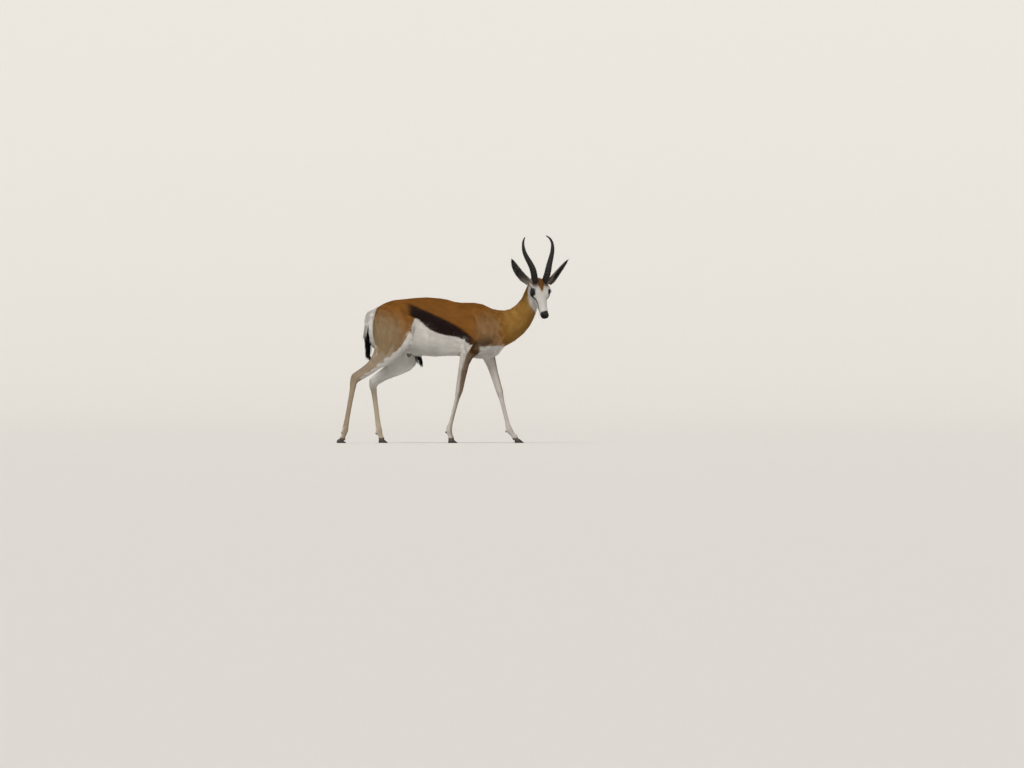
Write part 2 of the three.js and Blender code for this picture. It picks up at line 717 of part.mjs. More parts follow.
// The tail hangs from the rump: a slim dock, then a dark brush down to its tip.
const TAIL = [
  { at: [-424, 0, 706], deep: 30, wide: 34 },
  { at: [-448, 0, 700], deep: 27, wide: 30 },
  { at: [-464, -1, 676], deep: 20, wide: 24 },
  { at: [-469, -3, 640], deep: 16, wide: 19 },
  { at: [-466, -5, 602], deep: 16, wide: 18 },
  { at: [-462, -7, 564], deep: 20, wide: 21 },
  { at: [-457, -9, 526], deep: 28, wide: 27 },
  { at: [-451, -10, 490], deep: 29, wide: 27 },
  { at: [-445, -10, 462], deep: 15, wide: 15 },
  { at: [-442, -10, 444], deep: 3, wide: 3 },
];
const DOCK_END = 3; // the station where the pale dock gives way to the dark brush

// The sheath under the belly, with its hanging tuft.
const SHEATH = [
  { at: [-214, 0, 494], deep: 16, wide: 18 },
  { at: [-205, 0, 482], deep: 25, wide: 26 },
  { at: [-190, 0, 474], deep: 25, wide: 24 },
  { at: [-178, 0, 463], deep: 20, wide: 18 },
  { at: [-174, 0, 448], deep: 14, wide: 12 },
  { at: [-176, 0, 432], deep: 5, wide: 5 },
];

const scrotum = () => joined(ball([14, 17, 24], [-236, 0, 482], 14), ball([12, 13, 16], [-238, 0, 508], 12));

// Putting the animal together

const springbok = new THREE.Group();
springbok.position.y = MIDLINE_SHIFT;

function add(name, solid, colour, roughness = 0.85, parent = springbok) {
  const material = new THREE.MeshStandardMaterial({ color: COLOURS[colour], roughness, metalness: 0 });
  const mesh = new THREE.Mesh(geometryOf(solid), material);
  mesh.name = name;
  parent.add(mesh);
  return mesh;
}

// Splits a leg with thin plates across it, and names the lengths from the top down.
function split(leg, cuts, names) {
  const plates = cuts.map(({ at, ahead, reach }) => {
    const plate = new THREE.BoxGeometry(reach, reach, GAP);
    const turn = new THREE.Quaternion().setFromUnitVectors(vec(0, 0, 1), vec(...ahead).normalize());
    return solidOf(plate.applyQuaternion(turn).translate(...at));
  });
  const middleHeight = (solid) => {
    const { min, max } = solid.boundingBox();
    return (min[2] + max[2]) / 2;
  };
  const lengths = plates
    .reduce((body, plate) => body.subtract(plate), leg)
    .decompose()
    .filter((body) => body.volume() > 1000)
    .sort((a, b) => middleHeight(b) - middleHeight(a));
  return Object.fromEntries(names.map((name, i) => [name, lengths[i]]));
}

// The direction from one point to another.
const heading = (from, to) => to.map((v, i) => v - from[i]);

const torso = largest(joined(trunk(), limb(RUMP, 8, 12)));
const torsoGrown = inflated(torso);
const headSolid = head();
const headPlaced = solidOf(geometryOf(headSolid).applyMatrix4(headMatrix));
const neck = largest(limb(NECK, 12, 16).subtract(torsoGrown).subtract(inflated(headPlaced)));
const neckGrown = inflated(neck);
add("torso", torso, "tan");
add("neck", neck, "tan");

const headGroup = new THREE.Group();
headGroup.applyMatrix4(headMatrix);
springbok.add(headGroup);
add("head", headSolid, "white", 0.85, headGroup);
const headGrown = inflated(headSolid);
const neckInHead = inflated(solidOf(geometryOf(neck).applyMatrix4(headInverse)));
for (const [word, side] of [["right", RIGHT], ["left", LEFT]]) {
  const hornSolid = largest(horn(side).subtract(headGrown));
  const earSolid = ear(side).subtract(headGrown).subtract(neckInHead).subtract(inflated(hornSolid));
  add(`horn_${word}`, hornSolid, "horn", 0.55, headGroup);
  add(`ear_${word}`, largest(earSolid), "grey", 0.85, headGroup);
  add(`eye_${word}`, ball(Array(3).fill(EYE_RADIUS), [EYE_AT.x, side * EYE_AT.y, EYE_AT.z], 14), "eye", 0.1, headGroup);
}

const LEGS = [
  { kind: "hind", word: "right", leg: HIND_RIGHT, joint: HIND_RIGHT.hock, side: RIGHT },
  { kind: "hind", word: "left", leg: HIND_LEFT, joint: HIND_LEFT.hock, side: LEFT },
  { kind: "fore", word: "right", leg: FORE_RIGHT, joint: FORE_RIGHT.knee, side: RIGHT },
  { kind: "fore", word: "left", leg: FORE_LEFT, joint: FORE_LEFT.knee, side: LEFT },
];
let haunches = torsoGrown;
for (const { kind, word, leg, joint } of LEGS) {
  const hind = kind === "hind";
  const whole = hind ? joined(hindLeg(leg), hockPoint(leg), stifle(leg)) : joined(foreLeg(leg), elbow(leg));
  const foot = new THREE.Group();
  foot.position.set(leg.hoof[0], leg.hoof[1], 0);
  springbok.add(foot);
  const claws = [-1, 1].map((half) => claw().translate([0, (half * CLAW.apart) / 2, 0]));
  claws.forEach((solid, i) => add(`${kind}_claw_${word}_${i ? "outer" : "inner"}`, solid, "horn", 0.45, foot));
  const clawsPlaced = joined(...claws.map((solid) => inflated(solid.translate([...leg.hoof, 0]))));
  const trimmed = largest(whole.subtract(torsoGrown).subtract(neckGrown).subtract(clawsPlaced));
  const bend = leg.upper.at(hind ? -3 : -4).at;
  const names = hind ? ["thigh", "gaskin", "hind_cannon", "hind_pastern"] : ["shoulder", "forearm", "fore_cannon", "fore_pastern"];
  const lengths = split(
    trimmed,
    [
      { at: bend, ahead: heading(bend, leg.upper.at(-2).at), reach: hind ? 330 : 240 },
      { at: mix(joint.at, leg.fetlock, 0.12), ahead: heading(joint.at, leg.fetlock), reach: 90 },
      { at: mix(leg.fetlock, joint.at, 0.08), ahead: heading(leg.fetlock, joint.at), reach: 70 },
    ],
    names,
  );
  for (const [name, solid] of Object.entries(lengths)) add(`${name}_${word}`, solid, "tan");
  if (hind) haunches = haunches.add(inflated(lengths.thigh));
  const legGrown = inflated(trimmed);
  for (const half of [-1, 1]) {
    const spur = new THREE.ConeGeometry(5.2, 17, 8).rotateX(-Math.PI / 2).rotateY(0.95 + Math.PI / 2);
    const at = [leg.fetlock[0] - 18, leg.fetlock[1] + half * 9.5, leg.fetlock[2] - 9];
    const solid = solidOf(spur.translate(...at)).subtract(legGrown);
    add(`${kind}_dewclaw_${word}_${half > 0 ? "left" : "right"}`, largest(solid), "horn", 0.5);
  }
}

const dockEnd = TAIL[DOCK_END].at;
const cutAtDock = { at: dockEnd, ahead: heading(dockEnd, TAIL[DOCK_END + 1].at), reach: 60 };
const tailParts = split(limb(TAIL, 16, 12), [cutAtDock], ["tail", "brush"]);
add("tail", largest(tailParts.tail.subtract(haunches)), "white");
add("tail_brush", largest(tailParts.brush.subtract(haunches)), "dark");
const sheathLocks = locksRound(SHEATH, {
  count: 5, from: 0.66, to: 0.95, length: 38, wide: 9, thick: 5, lean: 0.4, seed: 5,
});
add("scrotum", largest(scrotum().subtract(haunches)), "dark");
add("sheath", largest(joined(limb(SHEATH, 10, 10), ...sheathLocks).subtract(haunches)), "dark");

export default springbok;
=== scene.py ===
"""A springbok ram in mid-step: its skin, coat, horns, eyes and hooves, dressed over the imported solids."""
import math

import bmesh
import bpy
import numpy as np
from mathutils import Matrix, Vector
from mathutils.bvhtree import BVHTree
from mathutils.kdtree import KDTree


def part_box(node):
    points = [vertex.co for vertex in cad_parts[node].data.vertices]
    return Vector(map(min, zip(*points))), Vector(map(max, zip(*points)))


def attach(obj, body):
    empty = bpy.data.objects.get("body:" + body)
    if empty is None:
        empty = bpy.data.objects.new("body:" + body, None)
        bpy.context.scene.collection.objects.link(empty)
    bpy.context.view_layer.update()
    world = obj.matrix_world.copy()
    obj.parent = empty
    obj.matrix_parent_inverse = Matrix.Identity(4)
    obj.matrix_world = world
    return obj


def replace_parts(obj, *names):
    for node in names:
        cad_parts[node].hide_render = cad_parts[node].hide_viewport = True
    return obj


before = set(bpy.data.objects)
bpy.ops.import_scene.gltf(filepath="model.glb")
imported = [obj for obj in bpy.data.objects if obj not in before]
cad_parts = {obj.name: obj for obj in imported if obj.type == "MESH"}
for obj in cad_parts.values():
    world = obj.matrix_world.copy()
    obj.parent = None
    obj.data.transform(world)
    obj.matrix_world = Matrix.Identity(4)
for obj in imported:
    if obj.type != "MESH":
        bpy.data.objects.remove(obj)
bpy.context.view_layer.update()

MM = 0.001
rng = np.random.default_rng(11)

# The nodes, by what they are

SIDES = ("right", "left")
OUTWARD = {"right": -1, "left": 1}
HALVES = ("inner", "outer")
ENDS = ("fore", "hind")
HIND_PARTS = ("thigh", "gaskin", "hind_cannon", "hind_pastern")
FORE_PARTS = ("shoulder", "forearm", "fore_cannon", "fore_pastern")
LEG_NODES = [f"{part}_{side}" for part in HIND_PARTS + FORE_PARTS for side in SIDES]
TRUNK_NODES = ["torso", "neck", "head", "ear_right", "ear_left", "tail", "tail_brush", "scrotum", "sheath"]
SKIN_NODES = TRUNK_NODES + LEG_NODES
LABEL = {name: number for number, name in enumerate(SKIN_NODES)}
CLAWS = [f"{end}_claw_{side}_{half}" for end in ENDS for side in SIDES for half in HALVES]
DEWCLAWS = [f"{end}_dewclaw_{side}_{half}" for end in ENDS for side in SIDES for half in SIDES]


def middle(node):
    low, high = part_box(node)
    return (low + high) / 2


BODY_MIDDLE_Y = middle("torso").y

# The head's own frame, in millimetres: x to the nose, y to the animal's left, z to the forehead

HEAD_DROP = math.radians(52.5)
EYE_CENTRES = {side: middle(f"eye_{side}") for side in SIDES}
EYE_RADIUS = (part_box("eye_left")[1].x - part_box("eye_left")[0].x) / 2 / MM
BETWEEN_EYES = (EYE_CENTRES["left"] + EYE_CENTRES["right"]) / 2
HEAD_LEFT = (EYE_CENTRES["left"] - EYE_CENTRES["right"]).normalized()
HEAD_LEVEL = Vector((HEAD_LEFT.y, -HEAD_LEFT.x, 0))
UP = Vector((0, 0, 1))
HEAD_NOSE = HEAD_LEVEL * math.cos(HEAD_DROP) - UP * math.sin(HEAD_DROP)
HEAD_CROWN = HEAD_LEVEL * math.sin(HEAD_DROP) + UP * math.cos(HEAD_DROP)
HEAD_AXES = np.array([HEAD_NOSE, HEAD_LEFT, HEAD_CROWN])
TO_NOSE, TO_LEFT, TO_CROWN = HEAD_AXES
EYES = {side: np.array(centre) for side, centre in EYE_CENTRES.items()}
EYE_HEIGHT = 2.0


def in_head(points):
    """Points in metres as millimetres in the head's frame."""
    return (points - np.array(BETWEEN_EYES)) @ HEAD_AXES.T / MM + (0, 0, EYE_HEIGHT)


def from_level(ahead, left, up):
    """A point in metres from millimetres ahead, left and up of the brow, level with the head's turn."""
    offset = (HEAD_LEVEL * ahead + HEAD_LEFT * left + UP * up) * MM
    return BETWEEN_EYES - HEAD_CROWN * EYE_HEIGHT * MM + offset


def eye_in_head(side):
    return in_head(EYES[side][None])[0]


# Small helpers for values over a surface


def ramp(value, start, end):
    """0 at start and 1 at end, smooth between."""
    t = np.clip((value - start) / (end - start), 0, 1)
    return t * t * (3 - 2 * t)


def near(value, at, width):
    """1 at a value, fading to 0 over a width on both sides."""
    return np.exp(-(((value - at) / width) ** 2))


def look_up(value, table):
    """A table's second column, read between its rows at values of its first."""
    return np.interp(value, *np.transpose(table))


def unit(vectors):
    length = np.linalg.norm(vectors, axis=-1, keepdims=True)
    return vectors / np.maximum(length, 1e-9)


RIPPLE_WAVES = 6


def ripple(points, size, seed):
    """A smooth wander, mostly between -1 and 1, that repeats nowhere near, for edges and patches."""
    turns = np.random.default_rng(seed)
    total = np.zeros(len(points))
    for _ in range(RIPPLE_WAVES):
        direction = unit(turns.normal(size=3))
        total += np.sin(points @ direction / size * turns.uniform(0.7, 1.6) + turns.uniform(0, 6.28))
    return total / 3


# Meshes to arrays and back


def read_all(items, attribute, width, kind=np.float32):
    """One attribute of all of a mesh's vertices, edges or faces, as rows of a width."""
    values = np.empty(len(items) * width, kind)
    items.foreach_get(attribute, values)
    return values.reshape(-1, width)


def mesh_points(mesh):
    return read_all(mesh.vertices, "co", 3).astype(float)


def mesh_normals(mesh):
    return read_all(mesh.vertex_normals, "vector", 3).astype(float)


def set_points(mesh, points):
    mesh.vertices.foreach_set("co", points.astype(np.float32).ravel())
    mesh.update()


def set_place(mesh, name, values):
    attribute = mesh.attributes.new(name, "FLOAT_VECTOR", "POINT")
    attribute.data.foreach_set("vector", np.asarray(values, np.float32).ravel())


def set_colours(mesh, colours):
    attribute = mesh.attributes.new("coat_colour", "FLOAT_COLOR", "POINT")
    rgba = np.ones((len(colours), 4), np.float32)
    rgba[:, :3] = colours
    attribute.data.foreach_set("color", rgba.ravel())


def shade_smooth(mesh):
    mesh.polygons.foreach_set("use_smooth", np.ones(len(mesh.polygons), bool))


def mesh_from(bm, name):
    """A bmesh as a named mesh, with the bmesh freed."""
    mesh = bpy.data.meshes.new(name)
    bm.to_mesh(mesh)
    bm.free()
    return mesh


def extruded(bm, edges):
    """Draws edges out into new faces, and gives back the new vertices and edges."""
    made = bmesh.ops.extrude_edge_only(bm, edges=edges)["geom"]
    return ([part for part in made if isinstance(part, bmesh.types.BMVert)],
            [part for part in made if isinstance(part, bmesh.types.BMEdge)])


def linked(name, data):
    """A new object in the scene."""
    made = bpy.data.objects.new(name, data)
    bpy.context.scene.collection.objects.link(made)
    return made


def new_piece(name, mesh, material):
    """A visible piece of the model, with one material."""
    piece = linked(name, mesh)
    mesh.name = name
    mesh.materials.clear()
    mesh.materials.append(material)
    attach(piece, "root")
    return piece


def applied(piece, kind, **settings):
    """A piece's mesh with one modifier applied. The piece itself is removed."""
    modifier = piece.modifiers.new(kind.lower(), kind)
    for key, value in settings.items():
        setattr(modifier, key, value)
    bpy.context.view_layer.update()
    done = piece.evaluated_get(bpy.context.evaluated_depsgraph_get())
    mesh = bpy.data.meshes.new_from_object(done)
    bpy.data.objects.remove(piece)
    return mesh


WELD = 1e-7


def remeshed(nodes, voxel):
    """The nodes' solids as one even mesh, and for each of its vertices the number of the nearest node."""
    bm = bmesh.new()
    labels = []
    for number, name in enumerate(nodes):
        bm.from_mesh(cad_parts[name].data)
        labels += [number] * (len(bm.faces) - len(labels))
    layer = bm.faces.layers.int.new("label")
    bm.faces.ensure_lookup_table()
    for face, label in zip(bm.faces, labels):
        face[layer] = label
    bmesh.ops.remove_doubles(bm, verts=bm.verts, dist=WELD)
    bm.faces.ensure_lookup_table()
    face_labels = np.array([face[layer] for face in bm.faces])
    find = BVHTree.FromBMesh(bm).find_nearest
    solid = linked("scratch", mesh_from(bm, "solid"))
    even = applied(solid, "REMESH", mode="VOXEL", voxel_size=voxel, use_smooth_shade=True)
    return even, face_labels[[find(point)[2] for point in mesh_points(even)]]


class Net:
    """Each vertex's neighbours in a mesh, for averaging values over them."""

    def __init__(self, mesh):
        edges = read_all(mesh.edges, "vertices", 2, np.int32)
        start = np.concatenate([edges[:, 0], edges[:, 1]])
        end = np.concatenate([edges[:, 1], edges[:, 0]])
        order = np.argsort(start, kind="stable")
        self.neighbours = end[order]
        self.count = np.bincount(start, minlength=len(mesh.vertices))
        self.starts = np.concatenate([[0], np.cumsum(self.count)[:-1]])

    def mean(self, values):
        gathered = np.add.reduceat(values[self.neighbours], self.starts, axis=0)
        return gathered / (self.count if values.ndim == 1 else self.count[:, None])

    def eased(self, values, rounds):
        """Values that have moved half of the way to their neighbours' mean in each round."""
        for _ in range(rounds):
            values = values + 0.5 * (self.mean(values) - values)
        return values


# Each node's coat: its share of the rounds of easing, the coat's depth in mm, the hair's length and width
# in mm, its lift as a share of its length, and its tufts for each square millimetre

NODE_COAT = {
    "torso": (1.0, 3.0, 14, 1.7, 0.09, 0.24),
    "neck": (0.8, 3.0, 13, 1.6, 0.10, 0.26),
    "head": (0.035, 1.0, 5, 0.9, 0.07, 0.42),
    "ear_": (0.02, 0.5, 7, 0.9, 0.07, 0.30),
    "tail_brush": (0.25, 7.0, 12, 1.2, 0.20, 0.50),
    "tail": (0.06, 1.5, 16, 1.2, 0.12, 0.40),
    "scrotum": (0.10, 0.8, 5, 1.1, 0.12, 0.20),
    "sheath": (0.10, 1.0, 12, 1.3, 0.14, 0.26),
    "thigh": (0.9, 2.6, 12, 1.6, 0.085, 0.26),
    "shoulder": (0.9, 2.4, 11, 1.5, 0.085, 0.26),
    "gaskin": (0.35, 1.6, 9, 1.4, 0.085, 0.27),
    "forearm": (0.28, 1.4, 8, 1.3, 0.08, 0.28),
    "cannon": (0.12, 0.8, 6, 1.0, 0.06, 0.30),
    "pastern": (0.08, 0.8, 6, 1.0, 0.07, 0.32),
}
MOST_ROUNDS = 240
EASING, DEPTH, HAIR_LENGTH, HAIR_WIDTH, HAIR_LIFT, HAIR_DENSITY = range(6)
COAT_TABLE = np.array([next(row for key, row in NODE_COAT.items() if key in name) for name in SKIN_NODES])


def is_label(labels, *words):
    """Which labels belong to nodes whose names hold one of the words."""
    wanted = [number for name, number in LABEL.items() if any(word in name for word in words)]
    return np.isin(labels, wanted)


# Limb centrelines, for markings that follow a leg, from rings of points this share of a node's height wide,
# and this many mm more

RING_SHARE, RING_HALF = 0.16, 3


def node_points(name):
    return mesh_points(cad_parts[name].data) / MM


def centreline(nodes):
    """Heights and middle x, in mm, down a chain of nodes."""
    rows = []
    for name in nodes:
        points = node_points(name)
        low, high = points[:, 2].min(), points[:, 2].max()
        for share in (0.9, 0.5, 0.1):
            height = low + share * (high - low)
            ring = points[np.abs(points[:, 2] - height) < RING_SHARE * (high - low) + RING_HALF]
            rows.append([height, (ring[:, 0].min() + ring[:, 0].max()) / 2])
    rows.sort()
    return rows


LEG_LINES = {
    (end, side): centreline([f"{part}_{side}" for part in parts[1:]])
    for end, parts in (("fore", FORE_PARTS), ("hind", HIND_PARTS))
    for side in SIDES
}


def ahead_of_leg(points, end, side):
    """How far in mm each point lies in front of a leg's middle."""
    return points[:, 0] - look_up(points[:, 2], LEG_LINES[end, side])


# Colours of the hair, as linear red, green and blue

BACK = (0.205, 0.080, 0.013)
NECK = (0.30, 0.158, 0.036)
THIGH = (0.27, 0.19, 0.105)
LEG = (0.32, 0.25, 0.18)
BAND = (0.011, 0.0045, 0.0025)
WHITE = (0.62, 0.60, 0.565)
LEG_WHITE = (0.50, 0.47, 0.435)
CREAM = (0.50, 0.43, 0.33)
FACE = (0.52, 0.51, 0.485)
POLL = (0.15, 0.066, 0.017)
BROW = (0.070, 0.029, 0.011)
BLACK = (0.0045, 0.004, 0.004)
NOSE = (0.013, 0.012, 0.012)
EAR_BACK = (0.20, 0.15, 0.10)
EAR_INSIDE = (0.035, 0.032, 0.030)
# A dark skin tone for the scrotum, the sheath and just above the hooves, also used as painted shade in the
# flank's fold
DARK_SKIN_AND_PAINTED_SHADE = (0.06, 0.042, 0.035)
EAR_HAIR = (0.20, 0.185, 0.165)
SHIN = np.array(BROW) * 0.7 + np.array(LEG) * 0.3


class Paint:
    """Layers of colour over a set of points."""

    def __init__(self, count, base):
        self.colour = np.tile(np.array(base, float), (count, 1))

    def over(self, colour, mask):
        self.colour += (np.array(colour) - self.colour) * mask[:, None]


# The markings' edges on the trunk, in mm: the flank band's two edges as (x, z), the other edges as (z, x),
# the thigh's white strip as (z, width), and the throat's white as (z, reach in degrees). The flank's fold,
# also as (z, x), is no marking but the line where shade is painted in the crease in front of the thigh

BAND_TOP = [(-260, 762), (-241, 754), (-177, 727), (-123, 706), (-69, 681), (-15, 652), (39, 619),
            (93, 582), (130, 548)]
BAND_FOOT = [(-260, 690), (-222, 682), (-204, 673), (-187, 665), (-170, 649), (-150, 629), (-123, 609),
             (-82, 592), (-42, 582), (39, 566), (60, 555), (90, 530)]
BELLY_REAR = [(400, -404), (426, -404), (450, -374), (471, -344), (504, -302), (540, -267), (564, -242),
              (594, -221), (632, -218), (668, -203), (690, -190)]
THIGH_STRIP = [(330, 12), (365, 36), (400, 64), (426, 67), (450, 70), (471, 61), (504, 50), (540, 32),
               (564, 18), (594, 12), (625, 3)]
RUMP_EDGE = [(470, -404), (516, -413), (558, -425), (600, -431), (641, -431), (678, -425), (720, -413),
             (760, -404)]
FLANK_FOLD = [(501, -244), (541, -224), (602, -210), (640, -206)]
THROAT_WHITE = [(660, -6), (673, 0), (703, 8), (742, 50), (786, 71), (845, 100), (880, 112)]
CHEST_WHITE = 520

# The throat's middle: height, x and y in mm, and the way it faces in degrees

THROAT_LINE = [(643, 322, -1, 8), (690, 376, -8, 22), (746, 410, -26, 40), (802, 431, -52, 56),
               (844, 446, -84, 66), (856, 453, -112, 68)]

# The heights that an upper hind leg's front is taken at, in mm

FRONT_START, FRONT_STEP, FRONT_TOP, FRONT_RING = 6, 10, 660, 16


def leg_front(side):
    """The foremost x of an upper hind leg at each height, in mm, as rows of height and x."""
    points = np.concatenate([node_points(f"gaskin_{side}"), node_points(f"thigh_{side}")])
    rows = []
    for z in np.arange(points[:, 2].min() + FRONT_START, FRONT_TOP, FRONT_STEP):
        level = np.abs(points[:, 2] - z) < FRONT_RING
        if level.any():
            rows.append((z, points[level, 0].max()))
    return rows


HIND_FRONTS = {side: leg_front(side) for side in SIDES}


def behind_strip(p, side):
    """How far in mm a point lies behind the white strip along a thigh's front."""
    return look_up(p[:, 2], HIND_FRONTS[side]) - look_up(p[:, 2], THIGH_STRIP) - p[:, 0]


def paint_trunk(paint, p, normals, labels):
    """Back, flank band, belly and rump, by x, height z and distance y from the middle, all in mm."""
    x, z = p[:, 0], p[:, 2]
    y = np.abs(p[:, 1] - BODY_MIDDLE_Y / MM)
    wander = 3 * ripple(p, 30, 1)
    trunk = is_label(labels, "torso", "thigh", "shoulder", "neck", "scrotum", "sheath")
    paint.over(THIGH, ramp(x, -200, -330) * trunk * ramp(z + 0.35 * (x + 330), 735, 600))
    paint.over(THIGH, ramp(x, 90, 170) * ramp(z, 740, 620) * is_label(labels, "shoulder", "torso") * 0.5)
    neck = ramp(x, 215, 330) * trunk
    paint.over(NECK, neck)
    paint.over(BACK, neck * ramp(z - 0.9 * x, 430, 480) * 0.5)
    top = look_up(x, BAND_TOP) + wander
    foot = look_up(x, BAND_FOOT) + 0.4 * wander
    forward = x - 0.35 * wander
    band = ramp(top - z, -9, 9) * ramp(z - foot, -3, 3)
    paint.over(BAND, band * ramp(forward, -262, -212) * ramp(forward, 170, 70) * trunk)
    under = ramp(foot - z, -3, 3) * ramp(forward, 250, 215)
    under = under * ramp(x + 0.5 * wander - look_up(z, BELLY_REAR), -4, 4)
    shoulder, thigh = is_label(labels, "shoulder"), is_label(labels, "thigh")
    under = under * np.where(shoulder, ramp(x, 60, 40) * ramp(z, 575, 560), ramp(x, 150, 90)) * ~thigh
    chest = ramp(CHEST_WHITE + wander - z, -5, 5) * ramp(x, 55, 75)
    chest = chest * np.where(shoulder, ramp(x, 135, 155), 1)
    facing_in = ramp(normals[:, 1] * np.sign(p[:, 1] - BODY_MIDDLE_Y / MM), 0.0, -0.4)
    inner = facing_in * np.where(thigh, ramp(z, 690, 640), ramp(z, 570, 540)) * (thigh | shoulder)
    underside = ramp(normals[:, 2], -0.45, -0.75) * ramp(z, 540, 520) * is_label(labels, "torso")
    paint.over(WHITE, np.maximum.reduce([under, chest, inner, underside]) * trunk)
    for side in SIDES:
        mine = is_label(labels, f"thigh_{side}") * ramp(z, 640, 615)
        paint.over(WHITE, mine * ramp(behind_strip(p, side) + 0.6 * wander, 4, -4))
    # Painted shade: the coat darkened along the crease between the flank and the thigh's front
    fold = near(x, look_up(z, FLANK_FOLD), 4) * ramp(z, 500, 530) * ramp(z, 640, 618)
    paint.over(DARK_SKIN_AND_PAINTED_SHADE, 0.6 * fold * is_label(labels, "torso"))
    edge_x = look_up(z, RUMP_EDGE) - 0.12 * np.maximum(y - 70, 0)
    patch = ramp(edge_x + 0.5 * wander - x, -4, 4) * ramp(z, 440, 480)
    ridge = ramp(y, 9, 4) * ramp(z, 700, 720) * ramp(x, -330, -385) * ramp(x, -470, -440)
    rear = is_label(labels, "torso", "thigh", "tail")
    paint.over(BROW, 0.35 * near(x - edge_x, 8, 6) * ramp(z, 560, 600) * rear)
    paint.over(WHITE, np.maximum(patch, 0.75 * ridge) * rear)


def paint_legs(paint, p, normals, labels):
    """Brown fronts, white backs and insides."""
    z = p[:, 2]
    for end, side in LEG_LINES:
        outside = ramp(OUTWARD[side] * normals[:, 1], -0.35, 0.25)
        ahead = ahead_of_leg(p, end, side)
        wander = 2 * ripple(p, 18, 2)
        if end == "fore":
            mine = is_label(labels, f"forearm_{side}", f"fore_cannon_{side}", f"fore_pastern_{side}")
            paint.over(LEG_WHITE, mine)
            edge = -10 + 14 * ramp(z, 380, 60)
            front = ramp(ahead + wander, edge - 5, edge + 5)
            reach = np.maximum(outside, ramp(normals[:, 0], 0.75, 0.9))
            paint.over(SHIN, mine * front * reach * ramp(z, 60, 330))
            paint.over(LEG, mine * front * reach * ramp(z, 330, 60) * 0.85)
            upper = is_label(labels, f"shoulder_{side}")
            elbow = ramp(ahead, 12, -2) * ramp(z, 575, 560) * ramp(p[:, 0], 90, 75)
            paint.over(WHITE, upper * elbow)
            dark = ramp(z, 600, 520) * ramp(p[:, 0], 80, 100)
            dark = dark * np.maximum(ramp(z, 505, 530), ramp(p[:, 0], 150, 130))
            paint.over(BAND, upper * dark * 0.75 * outside)
        else:
            mine = is_label(labels, f"gaskin_{side}", f"hind_cannon_{side}", f"hind_pastern_{side}")
            paint.over(LEG, mine)
            inside = ramp(outside, 0.75, 0.25) * ramp(z, 250, 330)
            paint.over(WHITE, mine * inside)
            paint.over(CREAM, mine * ramp(outside, 0.6, 0.2) * ramp(z, 330, 250) * 0.6)
        paint.over(WHITE, mine * ramp(normals[:, 0], -0.3, -0.7) * ramp(z, 95, 75) * 0.9)
        # Darker just above the hooves
        paint.over(DARK_SKIN_AND_PAINTED_SHADE, mine * ramp(z, 31, 24) * 0.8)


def throat_angle(p):
    """Degrees round the neck's middle from the middle of the throat."""
    height, middle_x, middle_y, turn = np.transpose(THROAT_LINE)
    z = p[:, 2]
    turned = np.radians(np.interp(z, height, turn))
    ahead = p[:, 0] - np.interp(z, height, middle_x)
    aside = p[:, 1] - np.interp(z, height, middle_y) - BODY_MIDDLE_Y / MM
    toward = ahead * np.cos(turned) - aside * np.sin(turned)
    return np.degrees(np.arccos(np.clip(toward / np.maximum(np.hypot(ahead, aside), 1e-6), -1, 1)))


def paint_neck(paint, p, labels):
    """The white throat, wider towards the jaw."""
    reach = look_up(p[:, 2], THROAT_WHITE) + 4 * ripple(p, 20, 3)
    paint.over(WHITE, is_label(labels, "neck") * ramp(reach - throat_angle(p), -6, 6))


# The mouth's line and the nostrils, in the head's frame: the line as (x, z)

LIP_LINE = [(70, -43), (86, -42), (108, -39.5), (130, -37.5), (150, -35.5), (170, -34.5)]
NOSTRIL = np.array([(152.5, 12, -25), (148.5, 15.8, -20), (142, 18.2, -16.5)])


def from_nostril(h):
    """Millimetres from the curved line of the nearer nostril."""
    mirrored = h * (1, 0, 1) + np.abs(h) * (0, 1, 0)
    nearest = np.full(len(h), np.inf)
    for start, end in zip(NOSTRIL[:-1], NOSTRIL[1:]):
        reach = end - start
        share = np.clip((mirrored - start) @ reach / (reach @ reach), 0, 1)
        nearest = np.minimum(nearest, np.linalg.norm(mirrored - start - share[:, None] * reach, axis=1))
    return nearest


